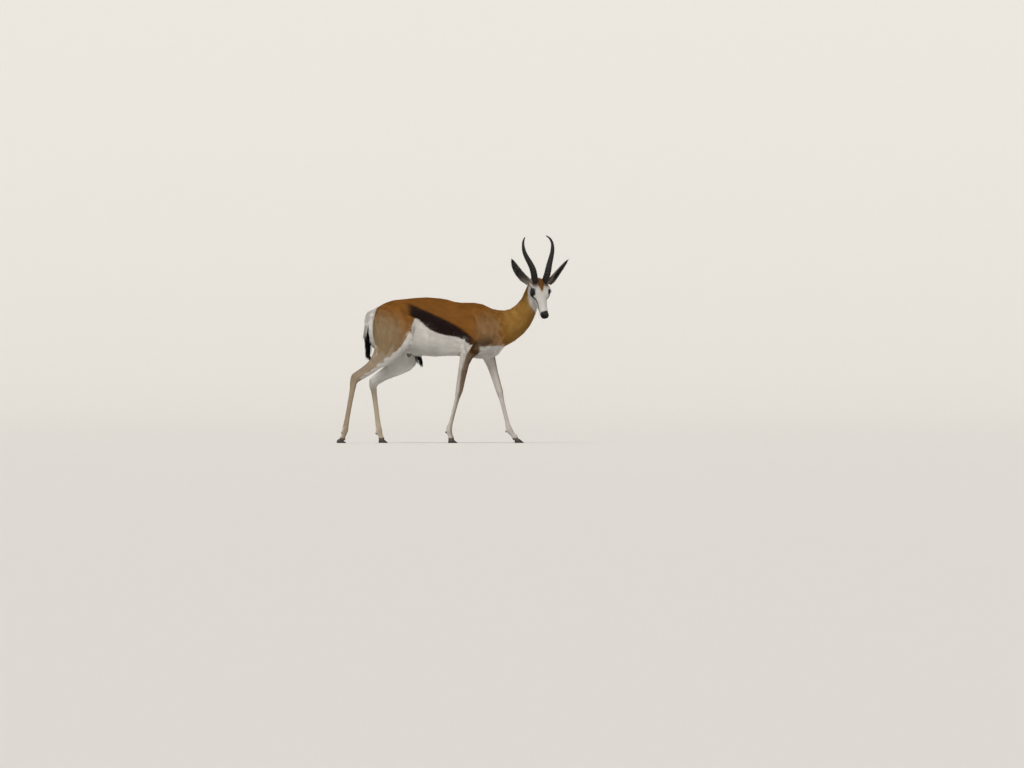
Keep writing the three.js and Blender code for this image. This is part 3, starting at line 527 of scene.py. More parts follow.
def paint_head(paint, p, labels):
    """The white face with its brown brow, dark cheek stripe, black nose and painted shade in the nostrils,
    in the head's frame.
    """
    h = in_head(p * MM)
    x, y, z = h.T
    side = np.abs(y)
    head = is_label(labels, "head")
    paint.over(FACE, head)
    poll = ramp(-x - 0.25 * z + 2.5 * ripple(p, 12, 4), 58, 72)
    paint.over(NECK, head * poll * ramp(z, -70, -45))
    bridge = ramp(z, 12, 20) * ramp(side, 19, 9) * ramp(x, 62, 18)
    paint.over(CREAM, head * bridge * 0.5)
    brow = ramp(17 - 0.34 * np.maximum(x + 18, 0) - side + 2 * ripple(p, 7, 5), -3, 4)
    paint.over(POLL, head * brow * ramp(x, 26, 2) * ramp(z, 10, 22))
    seat = near(np.hypot(x + 36, side - 31), 0, 24) * ramp(z, 14, 26)
    paint.over(BROW, head * np.clip(1.5 * seat, 0, 1) * 0.9)
    paint.over(EAR_BACK, head * ramp(side, 46, 60) * ramp(x, -28, -48) * ramp(z, -14, 4) * 0.8)
    socket = ramp(np.hypot((x - 3) * 0.85, z - 1) - 1.5 * ripple(p, 6, 6), 26, 20) * ramp(side, 33, 40)
    behind = near(z - 6, 0.15 * (x + 20), 8) * ramp(x, 0, -14) * ramp(x, -62, -30) * ramp(side, 28, 38)
    along = np.clip((x - 14) / 92, 0, 1)
    stripe = near(z - (-5 - 27 * along), 0, 5.6 - 2.2 * along)
    stripe = stripe * ramp(x, 8, 18) * ramp(x, 112, 100) * ramp(side, 10, 16)
    paint.over(BAND, head * np.clip(1.35 * stripe, 0, 1))
    paint.over(BLACK, head * np.maximum(0.97 * socket, 0.55 * behind))
    nose_line = 122 + 0.45 * np.maximum(-8 - z, 0) - 0.5 * np.maximum(side - 12, 0)
    nose = ramp(x - nose_line + 2 * ripple(p, 6, 7), -5, 5)
    lips = near(z - look_up(x, LIP_LINE), 0, 4) * ramp(x, 80, 96)
    paint.over(BLACK, head * np.clip(np.maximum(nose, 1.2 * lips), 0, 1) * 0.96)
    paint.over(NOSE, head * ramp(x, 143, 149) * ramp(z, -37, -33))
    # Painted shade in the nostrils: black along their lines, darker than the nose's leather
    paint.over(BLACK, head * ramp(from_nostril(h), 4.0, 2.2))


# The way each ear's cup faces, as shares ahead, left and up of the level head

EAR_FACING = {"right": (0.86, -0.24, -0.36), "left": (0.78, 0.46, -0.3)}
EAR_ROOT_POINTS = 60


def ear_frame(side):
    """An ear's root, its length direction, the way its cup faces, and its length in metres."""
    points = mesh_points(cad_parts[f"ear_{side}"].data)
    reach = np.linalg.norm(points - np.array(BETWEEN_EYES), axis=1)
    root, tip = points[np.argsort(reach)[:EAR_ROOT_POINTS]].mean(0), points[np.argmax(reach)]
    along = unit(tip - root)
    ahead, left, up = EAR_FACING[side]
    facing = np.array(HEAD_LEVEL * ahead + HEAD_LEFT * left + UP * up)
    facing = unit(facing - along * (facing @ along))
    return root, along, facing, np.linalg.norm(tip - root)


EARS = {side: ear_frame(side) for side in SIDES}


def paint_ears(paint, p, normals, labels):
    """Dusky backs, dark insides that are paler at the root, and black rims."""
    for side in SIDES:
        root, along, facing, length = EARS[side]
        mine = is_label(labels, f"ear_{side}")
        t = (p * MM - root) @ along / length
        across = unit(np.cross(along, facing)) * OUTWARD[side]
        off = (p * MM - root) @ across / MM
        inside = ramp(normals @ facing, -0.15, 0.3)
        paint.over(EAR_BACK, mine)
        paint.over(EAR_INSIDE, mine * inside)
        paint.over(CREAM, mine * inside * ramp(t, 0.5, 0.1) * 0.35)
        low_edge = ramp(off - (24 - 10 * t), -12, 2)
        rim = np.maximum(ramp(t, 0.8, 0.95), low_edge * ramp(t, 0.12, 0.4))
        paint.over(BLACK, mine * np.clip(rim, 0, 1) * 0.9)


def coat_colour(points, normals, labels):
    """The hair's colour at points in metres."""
    p = points / MM
    paint = Paint(len(p), BACK)
    paint_trunk(paint, p, normals, labels)
    paint_legs(paint, p, normals, labels)
    for side in SIDES:
        strip = is_label(labels, f"gaskin_{side}") * ramp(p[:, 2], 330, 350)
        paint.over(WHITE, strip * ramp(behind_strip(p, side) + 2 * ripple(p, 30, 1), 4, -4))
    paint_neck(paint, p, labels)
    paint_head(paint, p, labels)
    paint_ears(paint, p, normals, labels)
    tail = is_label(labels, "tail")
    paint.over(WHITE, tail)
    paint.over(BLACK, tail * ramp(p[:, 2] + 4 * ripple(p, 9, 12), 641, 629))
    # The scrotum, and the sheath towards its tip, darker
    hidden = is_label(labels, "scrotum") * 0.85 + is_label(labels, "sheath") * ramp(p[:, 2], 470, 452)
    paint.over(DARK_SKIN_AND_PAINTED_SHADE, hidden)
    paint.over(BLACK, is_label(labels, "sheath") * ramp(p[:, 2], 462, 446))
    mottle = 1 + 0.03 * ripple(p, 34, 8) + 0.03 * ripple(p, 9, 9)
    return np.clip(paint.colour * mottle[:, None], 0.004, 0.9)


# The skin's forms, as millimetres in or out along its normals

RIB_PITCH, FOLD_PITCH = 33, 17


def swell_body(p, labels):
    """Muscles and bones that show through the trunk and upper legs, by x, y and z in mm."""
    x, z = p[:, 0], p[:, 2]
    y = np.abs(p[:, 1] - BODY_MIDDLE_Y / MM)
    flank = is_label(labels, "torso") * ramp(y, 50, 75)
    ribs = np.sin((x + 0.32 * (z - 600)) / RIB_PITCH * 2 * math.pi) * ramp(x, -190, -120) * ramp(x, 80, 20)
    out = 0.3 * ribs * flank * ramp(z, 500, 560) * ramp(z, 740, 680)
    out -= 4.5 * near(x, -222, 30) * near(z, 640, 62) * is_label(labels, "torso")
    out += 2.5 * near(x, -300, 26) * near(z, 738, 20) * is_label(labels, "torso", "thigh")
    groove = near(x - (-392 + 0.30 * (z - 600)), 0, 11) * ramp(z, 480, 540) * ramp(z, 700, 640)
    out -= 2.2 * groove * is_label(labels, "thigh")
    blade = near(x - (176 - 0.45 * (z - 560)), 0, 9) * ramp(z, 560, 600) * ramp(z, 745, 710)
    out += 1.8 * blade * is_label(labels, "shoulder", "torso")
    out -= 2.4 * near(x - (118 - 0.25 * (z - 560)), 0, 13) * near(z, 575, 40) * is_label(labels, "shoulder")
    return out


def swell_neck(p, labels):
    """The gullet's groove and the folds on the side that the neck bends to."""
    x, y, z = p.T
    neck = is_label(labels, "neck")
    along = (z - 640) * 0.72 + (x - 330) * 0.45
    folds = np.sin(along / FOLD_PITCH * 2 * math.pi + 0.02 * (y - 20))
    right = ramp(y - (BODY_MIDDLE_Y / MM - 0.35 * (z - 640)), 0, -40)
    out = 0.35 * folds * neck * right * ramp(z, 700, 760)
    groove = near((z - 600) - 0.62 * (x - 300), 20, 12) * ramp(x, 300, 340)
    return out - 1.8 * groove * neck * right


def swell_legs(p, normals, labels):
    """Tendons behind the cannons, and the fetlocks' joints."""
    z = p[:, 2]
    out = np.zeros(len(p))
    for end, side in LEG_LINES:
        mine = is_label(labels, f"{end}_cannon_{side}", f"{end}_pastern_{side}")
        ahead = ahead_of_leg(p, end, side)
        sideways = np.abs(normals[:, 1])
        tendon = near(ahead, -3.5, 2.6) * ramp(sideways, 0.6, 0.85) * ramp(z, 95, 120) * ramp(z, 255, 225)
        out -= 1.5 * tendon * mine
        joint = near(z, 70, 12) * ramp(sideways, 0.4, 0.8)
        out += 1.2 * joint * mine
    return out


def swell_head(h, labels):
    """Brow, tear duct, cheekbone, nostrils and lips, from places in the head's frame."""
    x, y, z = h.T
    side = np.abs(y)
    head = is_label(labels, "head")
    out = 1.2 * near(np.hypot(x - 2, z - 21), 0, 9) * ramp(side, 20, 32)
    out -= 2.0 * near(np.hypot((x - 30) * 0.6, z + 6), 0, 3.2) * ramp(side, 24, 32)
    cheekbone = 1.5 * near(z + 20 - 0.25 * (x - 20), 0, 5) * ramp(x, -30, -5) * ramp(x, 66, 34)
    out += cheekbone * ramp(side, 22, 30)
    out -= 1.4 * near(z + 27, 0, 8) * near(x, 52, 22) * ramp(side, 12, 22)
    out -= 1.2 * near(side, 0, 7) * near(x, 18, 20) * ramp(z, 10, 20)
    nostril = from_nostril(h)
    out += 1.3 * near(nostril, 5.2, 2.0) - 5.5 * near(nostril, 0, 2.3)
    out -= 1.0 * near(side, 0, 1.4) * ramp(x, 140, 150) * ramp(z, -36, -30) * ramp(z, -12, -18)
    over_mouth = z - look_up(x, LIP_LINE)
    out += (1.1 * near(over_mouth, 4, 2.4) - 2.0 * near(over_mouth, 0, 1.3)) * ramp(x, 76, 88)
    return out * head


# The orbits, in mm: the height of the rim past the eye's middle, its radius and the most that is filled

ORBIT_RIM, ORBIT_RADIUS, ORBIT_FILL = 13.0, 12, 14
ORBIT_EASING = 20


def fill_orbits(points, h, net):
    """Slopes the skin smoothly from the rims of the orbits down to the cheek, brow and temple."""
    for side in SIDES:
        eye = eye_in_head(side)
        away = np.hypot(h[:, 0] - eye[0], h[:, 2] - eye[2])
        out = h[:, 1] * OUTWARD[side]
        past = np.clip(away - ORBIT_RADIUS, 0, None)
        rim = abs(eye[1]) + ORBIT_RIM - 0.30 * past - 0.006 * past**2
        facing = ramp(out, 22, 34) * ramp(away, 44, 34)
        lift = net.eased(np.clip(rim - out, 0, ORBIT_FILL) * facing, ORBIT_EASING)
        points += TO_LEFT * (OUTWARD[side] * lift * MM)[:, None]
    return points


# The lids, in mm: how far from the eyeball the skin is drawn in, the lid's height over the eyeball at its
# edge, what it gains behind the edge, its bulge, the fold above it, and the skin's depth inside the opening

LID_REACH = 10
LID_EDGE, LID_THICK, LID_BULGE, LID_FOLD, LID_POCKET = 0.5, 1.1, 0.9, 1.2, 3.0


def almond_of(direction):
    """How far each direction from an eye's middle lies out from the opening of the lids: 1 at its edge."""
    along = direction @ TO_NOSE - 0.10
    over = direction @ TO_CROWN - 0.06 + 0.16 * along
    tall = 0.60 - 0.16 * np.clip(along, 0, 1)
    return np.hypot(along / 0.86, over / tall), over


def shape_lids(points):
    """Draws the skin round each eye into lids that lie on the eyeball, with a fold above."""
    for side in SIDES:
        centre = EYES[side]
        outward = TO_LEFT * OUTWARD[side]
        away = points - centre
        reach = np.linalg.norm(away, axis=1) / MM
        direction = away / np.maximum(reach, 1e-6)[:, None] / MM
        close = np.where((reach < EYE_RADIUS + LID_REACH) & (direction @ outward > 0.02))[0]
        d = direction[close]
        almond, over = almond_of(d)
        lid = LID_EDGE + LID_THICK * ramp(almond, 1.0, 1.10)
        lid = lid + LID_BULGE * near(almond, 1.28, 0.14) * (0.6 + 0.4 * (over > 0))
        fold = LID_FOLD * near(almond, 1.52, 0.07) * ramp(over, 0, 0.2)
        wanted = EYE_RADIUS + np.where(almond < 1, -LID_POCKET, lid) - fold
        hold = ramp(almond, 2.0, 1.45)
        new_reach = reach[close] + hold * (wanted - reach[close])
        points[close] = centre + d * new_reach[:, None] * MM
    return points


# The skin: the size of its first even faces, its triangles once thinned, how many rounds the nodes' shares,
# the forms, the coat's depth, the thinning and the face's fine places are blended over, the face's share of
# the easing, the steps between two looks at what still moves, and how the thinning is graded

SKIN_VOXEL = 2.2 * MM
SKIN_TRIANGLES = 97000
NODE_BLEND, FORM_BLEND, DEPTH_BLEND, KEEP_BLEND, FACE_BLEND = 12, 12, 25, 6, 6
FACE_EASING = 0.16
EASING_STRIDE = 10
KEEP_LEVELS = 8
COARSE_FACTOR = 1.5


def ease_shares(net, labels, points):
    """Each vertex's share of the easing, blended where one node meets the next, and more round the eyes."""
    shares = COAT_TABLE[labels, EASING]
    shares = np.minimum(net.eased(shares, NODE_BLEND), shares * 6 + 0.02)
    h = in_head(points)
    soft = (np.hypot(h[:, 0], h[:, 2]) < 44) | (np.hypot(h[:, 0] + 57, h[:, 2] - 5) < 34)
    return np.where(soft & is_label(labels, "head"), FACE_EASING, shares)


def relax(points, net, shares):
    """Eases facets out of the surface, longer where a vertex's share is larger."""
    for step in range(MOST_ROUNDS):
        moving = shares * MOST_ROUNDS > step
        if step % EASING_STRIDE == 0 or step < EASING_STRIDE:
            strength = 0.5 * moving[:, None]
        points = points + strength * (net.mean(points) - points)
    return points


def finer(mesh, keep):
    """The mesh with fewer triangles, most of them left where keep is near 1."""
    piece = linked("scratch", mesh)
    group = piece.vertex_groups.new(name="coarse")
    levels = np.round((1 - keep) * KEEP_LEVELS).astype(int)
    for level in range(KEEP_LEVELS + 1):
        group.add(np.where(levels == level)[0].tolist(), level / KEEP_LEVELS, "REPLACE")
    triangles = sum(len(face.vertices) - 2 for face in mesh.polygons)
    return applied(piece, "DECIMATE", decimate_type="COLLAPSE", ratio=SKIN_TRIANGLES / triangles,
                   vertex_group="coarse", vertex_group_factor=COARSE_FACTOR)


def refined(mesh, wanted):
    """The mesh with the edges between its wanted vertices cut in two."""
    bm = bmesh.new()
    bm.from_mesh(mesh)
    bm.verts.ensure_lookup_table()
    chosen = set(np.where(wanted)[0].tolist())
    edges = [edge for edge in bm.edges if all(vert.index in chosen for vert in edge.verts)]
    bmesh.ops.subdivide_edges(bm, edges=edges, cuts=1, use_grid_fill=True)
    bmesh.ops.triangulate(bm, faces=[face for face in bm.faces if len(face.verts) > 3])
    return mesh_from(bm, "refined")


def fine_places(h, eye_reach, slit_reach):
    """Which places of the head need small faces: round the eyes, the nostrils and the mouth."""
    eyes = np.zeros(len(h), bool)
    for side in SIDES:
        eyes |= np.linalg.norm(h - eye_in_head(side), axis=1) < eye_reach
    mouth = (np.abs(h[:, 2] - look_up(h[:, 0], LIP_LINE)) < slit_reach) & (h[:, 0] > 72) & (h[:, 0] < 175)
    return eyes | (from_nostril(h) < slit_reach + 2) | (mouth & (np.abs(h[:, 1]) < 40))


def nearest_labels(mesh, points, labels):
    """The label of the nearest of some labelled points, for each vertex of a mesh."""
    tree = KDTree(len(points))
    for number, point in enumerate(points):
        tree.insert(point, number)
    tree.balance()
    find = tree.find
    return labels[[find(point)[1] for point in mesh_points(mesh)]]


# How far in mm the small faces and the rounded places reach from the eyes and from the nostrils and mouth

REFINED_REACHES = ((34, 9), (25, 5))
ROUNDED_REACH = (30, 7)


def make_skin():
    """One closed skin over all the flesh, lying inside the solids by the coat's depth."""
    mesh, labels = remeshed(SKIN_NODES + [f"eye_{side}" for side in SIDES], SKIN_VOXEL)
    labels[labels >= len(SKIN_NODES)] = LABEL["head"]
    net = Net(mesh)
    points = relax(mesh_points(mesh), net, ease_shares(net, labels, mesh_points(mesh)))
    points = fill_orbits(points, in_head(points), net)
    set_points(mesh, points)
    normals = mesh_normals(mesh)
    p = points / MM
    out = net.eased(swell_body(p, labels) + swell_neck(p, labels), FORM_BLEND)
    out += swell_legs(p, normals, labels) - net.eased(COAT_TABLE[labels, DEPTH], DEPTH_BLEND)
    points = points + normals * out[:, None] * MM
    set_points(mesh, points)
    head_like = is_label(labels, "head", "ear_")
    small = is_label(labels, "cannon", "pastern", "tail", "sheath", "scrotum") * 0.4
    coarse = finer(mesh, net.eased(np.maximum(head_like, small), KEEP_BLEND))
    for reaches in REFINED_REACHES:
        coarse = refined(coarse, fine_places(in_head(mesh_points(coarse)), *reaches))
    labels = nearest_labels(coarse, points, labels)
    fine = mesh_points(coarse)
    rounded = Net(coarse).eased(fine, FACE_BLEND)
    soft = fine_places(in_head(fine), *ROUNDED_REACH)
    fine[soft] = rounded[soft]
    set_points(coarse, fine)
    fine = fine + mesh_normals(coarse) * (swell_head(in_head(fine), labels) * MM)[:, None]
    set_points(coarse, shape_lids(fine))
    return coarse, labels


# Materials

NODE_SPACING = 220


def add(tree, kind, inputs=(), **settings):
    """A new shader node's outputs, after each input is given a value or wired to another output."""
    made = tree.nodes.new(kind)
    made.location = (NODE_SPACING * len(tree.nodes), 0)
    for key, value in settings.items():
        setattr(made, key, value)
    for key, value in dict(inputs).items():
        if isinstance(value, bpy.types.NodeSocket):
            tree.links.new(value, made.inputs[key])
        else:
            made.inputs[key].default_value = value
    return made.outputs


def shades(tree, value, stops):
    """A colour for each value, by stops given as (place, colour)."""
    made = tree.nodes.new("ShaderNodeValToRGB")
    made.location = (NODE_SPACING * len(tree.nodes), 0)
    elements = made.color_ramp.elements
    for element, (place, colour) in zip(elements, (stops[0], stops[-1])):
        element.position, element.color = place, (*colour, 1)
    for place, colour in stops[1:-1]:
        elements.new(place).color = (*colour, 1)
    tree.links.new(value, made.inputs["Fac"])
    return made.outputs["Color"]


def shader_of(material):
    return material.node_tree.nodes["Principled BSDF"]


def new_material(name, colour, roughness, specular=0.5):
    material = bpy.data.materials.new(name)
    material.use_nodes = True
    inputs = shader_of(material).inputs
    inputs["Base Color"].default_value = (*colour, 1)
    inputs["Roughness"].default_value = roughness
    inputs["Specular IOR Level"].default_value = specular
    return material


def dress(material, colour, height, strength, depth):
    """Wires a colour, and a relief of a depth in metres, into a material."""
    tree, inputs = material.node_tree, shader_of(material).inputs
    tree.links.new(colour, inputs["Base Color"])
    relief = add(tree, "ShaderNodeBump", {"Height": height, "Strength": strength, "Distance": depth})
    tree.links.new(relief["Normal"], inputs["Normal"])
    return material


HAIR_STRETCH = (0.35, 1.0, 0.7)
CLUMP_SCALE, CLUMP_SHARE = 42.0, 0.5
GRAIN_MIDDLE = 0.75


def hair_grain_group():
    """Fine streaks and clumps of short hair: a tint and a height from places on the piece."""
    tree = bpy.data.node_groups.new("hair_grain", "ShaderNodeTree")
    for way, names in (("INPUT", ("Scale", "Spread")), ("OUTPUT", ("Tint", "Height"))):
        for name in names:
            tree.interface.new_socket(name, in_out=way, socket_type="NodeSocketFloat")
    given = add(tree, "NodeGroupInput")
    place = add(tree, "ShaderNodeTexCoord")["Object"]
    drawn = add(tree, "ShaderNodeMapping", {"Vector": place, "Scale": HAIR_STRETCH})["Vector"]
    noise = {"Vector": drawn, "Scale": given["Scale"], "Detail": 3.0}
    fine = add(tree, "ShaderNodeTexNoise", noise)["Fac"]
    clumps = add(tree, "ShaderNodeTexNoise", {"Vector": drawn, "Scale": CLUMP_SCALE, "Detail": 2.0})["Fac"]
    both = add(tree, "ShaderNodeMath", {0: clumps, 1: CLUMP_SHARE, 2: fine}, operation="MULTIPLY_ADD")[0]
    centred = add(tree, "ShaderNodeMath", {0: both, 1: GRAIN_MIDDLE}, operation="SUBTRACT")[0]
    spread = {0: centred, 1: given["Spread"], 2: 1.0}
    tint = add(tree, "ShaderNodeMath", spread, operation="MULTIPLY_ADD")[0]
    add(tree, "NodeGroupOutput", {"Tint": tint, "Height": both})
    return tree


HAIR_GRAIN = hair_grain_group()
HAIR_SPECULAR = 0.08
HAIR_RELIEF = 0.0012


def hair_material(name, roughness, scale, spread, bump):
    """Hair that takes its colour from the piece's own coat colour, streaked by the grain."""
    material = new_material(name, WHITE, roughness, HAIR_SPECULAR)
    tree = material.node_tree
    colour = add(tree, "ShaderNodeAttribute", attribute_name="coat_colour")["Color"]
    grain = add(tree, "ShaderNodeGroup", {"Scale": scale, "Spread": spread}, node_tree=HAIR_GRAIN)
    tinted = add(tree, "ShaderNodeVectorMath", {0: colour, "Scale": grain["Tint"]}, operation="SCALE")[0]
    return dress(material, tinted, grain["Height"], bump, HAIR_RELIEF)


SKIN_FINISH = hair_material("short_hair_over_skin", roughness=0.78, scale=420.0, spread=0.25, bump=0.5)
COAT_FINISH = hair_material("coat_tufts", roughness=0.62, scale=300.0, spread=0.18, bump=0.12)


def grown(material, place, stretch, scale, detail, stops, strength, depth):
    """Horn that grew in fibres or layers: noise drawn out one way, as shades and as relief."""
    tree = material.node_tree
    drawn = add(tree, "ShaderNodeMapping", {"Vector": place, "Scale": stretch})["Vector"]
    grain = add(tree, "ShaderNodeTexNoise", {"Vector": drawn, "Scale": scale, "Detail": detail})["Fac"]
    return dress(material, shades(tree, grain, stops), grain, strength, depth)


def horn_material():
    """Near-black horn with fibres along it, in shades and in relief."""
    material = new_material("ringed_horn", (0.02, 0.017, 0.015), 0.46, 0.2)
    place = add(material.node_tree, "ShaderNodeAttribute", attribute_name="horn_place")["Vector"]
    stops = ((0.35, (0.003, 0.0026, 0.0025)), (0.74, (0.024, 0.020, 0.018)))
    return grown(material, place, (1.0, 1.0, 0.10), 0.55, 4.0, stops, strength=0.5, depth=0.0006)


def hoof_material():
    """Dark hoof horn with growth lines level with the floor."""
    material = new_material("hoof_horn", (0.03, 0.025, 0.022), 0.45)
    place = add(material.node_tree, "ShaderNodeTexCoord")["Object"]
    stops = ((0.38, (0.008, 0.007, 0.0065)), (0.68, (0.046, 0.037, 0.030)))
    return grown(material, place, (0.10, 0.10, 1.0), 420.0, 3.0, stops, strength=0.4, depth=0.0004)


# The eye's colours from the iris's middle to the ball's edge, and the pupil's darkness

IRIS_STOPS = ((0.35, (0.050, 0.021, 0.009)), (0.80, (0.030, 0.012, 0.006)),
              (0.90, (0.006, 0.004, 0.003)), (1.0, (0.035, 0.026, 0.022)))
PUPIL_STOPS = ((0.85, (0.03, 0.03, 0.03)), (1.0, (1, 1, 1)))
PUPIL_NARROWING = (2.1, 4.2, 0.0)


def eye_material():
    """A dark brown iris with a long level pupil under a wet clear surface."""
    material = new_material("wet_dark_eye", (0.02, 0.01, 0.006), 0.04, 0.3)
    tree, inputs = material.node_tree, shader_of(material).inputs
    inputs["Coat Weight"].default_value = 0.35
    inputs["Coat Roughness"].default_value = 0.02
    face = add(tree, "ShaderNodeAttribute", attribute_name="iris_place")["Vector"]
    narrow = add(tree, "ShaderNodeMapping", {"Vector": face, "Scale": PUPIL_NARROWING})["Vector"]
    pupil = add(tree, "ShaderNodeVectorMath", {0: narrow}, operation="LENGTH")["Value"]
    whole = add(tree, "ShaderNodeVectorMath", {0: face}, operation="LENGTH")["Value"]
    spokes = add(tree, "ShaderNodeTexNoise", {"Vector": face, "Scale": 14.0})["Fac"]
    reach = add(tree, "ShaderNodeMath", {0: spokes, 1: 0.10, 2: whole}, operation="MULTIPLY_ADD")[0]
    iris, dark = shades(tree, reach, IRIS_STOPS), shades(tree, pupil, PUPIL_STOPS)
    mixed = add(tree, "ShaderNodeVectorMath", {0: iris, 1: dark}, operation="MULTIPLY")[0]
    tree.links.new(mixed, inputs["Base Color"])
    return material


# Eyes

EYE_ACROSS, EYE_ROUND = 64, 40
PUPIL_SHIFT = 0.06


def make_eye(side, material):
    """An eyeball whose faces know their places round the iris."""
    bm = bmesh.new()
    bmesh.ops.create_uvsphere(bm, u_segments=EYE_ACROSS, v_segments=EYE_ROUND, radius=EYE_RADIUS * MM)
    bmesh.ops.translate(bm, verts=bm.verts, vec=EYE_CENTRES[side])
    name = f"eyeball_{side}"
    mesh = mesh_from(bm, name)
    away = (mesh_points(mesh) - EYES[side]) / (EYE_RADIUS * MM)
    behind = np.clip(-(away @ (TO_LEFT * OUTWARD[side])), 0, 1)
    iris = (away @ TO_NOSE - PUPIL_SHIFT, away @ TO_CROWN, behind)
    set_place(mesh, "iris_place", np.stack(iris, axis=1))
    shade_smooth(mesh)
    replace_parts(new_piece(name, mesh, material), f"eye_{side}")


EYE_FINISH = eye_material()
for side in SIDES:
    make_eye(side, EYE_FINISH)

# Horns: a curved path, ringed along its lower three quarters. The path runs ahead, out and up from the brow
# in mm, and the taper is a share of the width at a share of the length.

HORN_PATH = [(-10, 28, 48), (-2, 32, 68), (4, 37, 88), (4, 45, 120), (-6, 56, 151),
             (-19, 70, 183), (-28, 81, 214), (-33, 85, 242), (-38, 83, 268)]
HORN_TIPS = {"right": [(-44, 76, 284), (-54, 66, 295)], "left": [(-46, 74, 288), (-62, 57, 304)]}
HORN_TAPER = [(0, 1), (0.25, 0.94), (0.5, 0.74), (0.7, 0.54), (0.88, 0.33), (0.97, 0.18), (1, 0.05)]
HORN_HALF = (19.5, 17.0)
HORN_RINGS, RINGS_START, RINGED_SHARE = 12, 0.1, 0.74
RING_HEIGHT, RING_SIDES = 2.0, 0.8
HORN_STEP, HORN_SEGMENTS = 1.3, 32


def smooth_path(points, step):
    """Even points in mm along a smooth curve through the given ones."""
    points = np.array(points, float)
    chord = np.concatenate([[0], np.cumsum(np.linalg.norm(np.diff(points, axis=0), axis=1))])
    slope = np.gradient(points, chord, axis=0)
    at = np.linspace(0, chord[-1], int(chord[-1] / step) + 1)
    span = np.clip(np.searchsorted(chord, at, "right") - 1, 0, len(chord) - 2)
    width = (chord[span + 1] - chord[span])[:, None]
    t = ((at - chord[span])[:, None]) / width
    return ((2 * t**3 - 3 * t**2 + 1) * points[span] + (t**3 - 2 * t**2 + t) * width * slope[span]
            + (3 * t**2 - 2 * t**3) * points[span + 1] + (t**3 - t**2) * width * slope[span + 1])


def horn_relief(share):
    """How far in mm the horn's rings stand out at a share of its length."""
    pitch = (RINGED_SHARE - RINGS_START) / HORN_RINGS
    turn = ((share - RINGS_START) / pitch) % 1.0
    ring = ramp(turn, 0.0, 0.30) * ramp(turn, 1.0, 0.62)
    fine = 0.16 * np.sin(turn * 6 * math.pi)
    relief = (RING_HEIGHT * (1 - 0.55 * share) * ring + fine) * ramp(share, 0.03, 0.10)
    return relief * ramp(share, RINGED_SHARE + 0.04, RINGED_SHARE - 0.02)


def make_horn(side, material):
    """A circle drawn out along the horn's path, narrower and ringed by its share of the length."""
    points = [(ahead, OUTWARD[side] * out, up) for ahead, out, up in HORN_PATH + HORN_TIPS[side]]
    places = [from_level(*point) for point in smooth_path(points, HORN_STEP)]
    share = np.linspace(0, 1, len(places))
    taper = look_up(share, HORN_TAPER)
    relief = horn_relief(share)
    bm = bmesh.new()
    ring = bmesh.ops.create_circle(bm, cap_ends=True, segments=HORN_SEGMENTS, radius=1.0)["verts"]
    edges = list(bm.edges)
    last = Matrix.Identity(4)
    horn_place = []
    for number, place in enumerate(places):
        ahead = (places[min(number + 1, len(places) - 1)] - places[max(number - 1, 0)]).normalized()
        across = (HEAD_LEFT - ahead * HEAD_LEFT.dot(ahead)).normalized()
        front = ahead.cross(across)
        deep = (HORN_HALF[0] * taper[number] + relief[number]) * MM
        wide = (HORN_HALF[1] * taper[number] + relief[number] * RING_SIDES) * MM
        stand = Matrix((front * deep, across * wide, ahead * deep)).transposed().to_4x4()
        stand.translation = place
        if number:
            ring, edges = extruded(bm, edges)
        bmesh.ops.transform(bm, matrix=stand @ last.inverted(), verts=ring)
        last = stand
        for vert in ring:
            off = vert.co - place
            horn_place.append((off.dot(front) / MM, off.dot(across) / MM, number * HORN_STEP))
    bmesh.ops.holes_fill(bm, edges=edges, sides=HORN_SEGMENTS)
    bmesh.ops.recalc_face_normals(bm, faces=bm.faces)
    name = f"ringed_horn_{side}"
    mesh = mesh_from(bm, name)
    set_place(mesh, "horn_place", horn_place)
    shade_smooth(mesh)
    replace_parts(new_piece(name, mesh, material), f"horn_{side}")


HORN_FINISH = horn_material()
for side in SIDES:
    make_horn(side, HORN_FINISH)

# Hooves and dewclaws: the solids' own forms, evened out. The heights over the sole say where it stays flat,
# and between which heights the easing is taken back.

HOOF_VOXEL = 1.0 * MM
HOOF_ROUNDS = 10
ON_FLOOR = 2 * MM
SOLE_FLAT, SOLE_EDGE, SOLE_FULL, SOLE_RISE = 1.2 * MM, 2.5 * MM, 0.8 * MM, 0.5 * MM


def make_hooves(name, nodes, material):
    """The nodes' forms with eased edges, and soles that stay flat at their own level."""
    mesh, _ = remeshed(nodes, HOOF_VOXEL)
    points = mesh_points(mesh)
    height = points[:, 2]
    sole = height.min()
    eased = Net(mesh).eased(points, HOOF_ROUNDS)
    flat = height < sole + SOLE_FLAT
    eased[flat, 2] = np.maximum(eased[flat, 2], sole)
    if sole < ON_FLOOR:
        level = ramp(height, sole + SOLE_EDGE, sole + SOLE_FULL)
        eased[:, 2] += level * (np.minimum(height, sole + SOLE_RISE) - eased[:, 2])
    set_points(mesh, eased)
    shade_smooth(mesh)
    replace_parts(new_piece(name, mesh, material), *nodes)


HOOF_FINISH = hoof_material()
make_hooves("hooves", CLAWS, HOOF_FINISH)
make_hooves("dewclaws", DEWCLAWS, HOOF_FINISH)


# The coat: thin tapered tufts that lie along the body. The neck's hair runs to a place in the chest, in mm.

CHEST = (90, BODY_MIDDLE_Y / MM, 560)


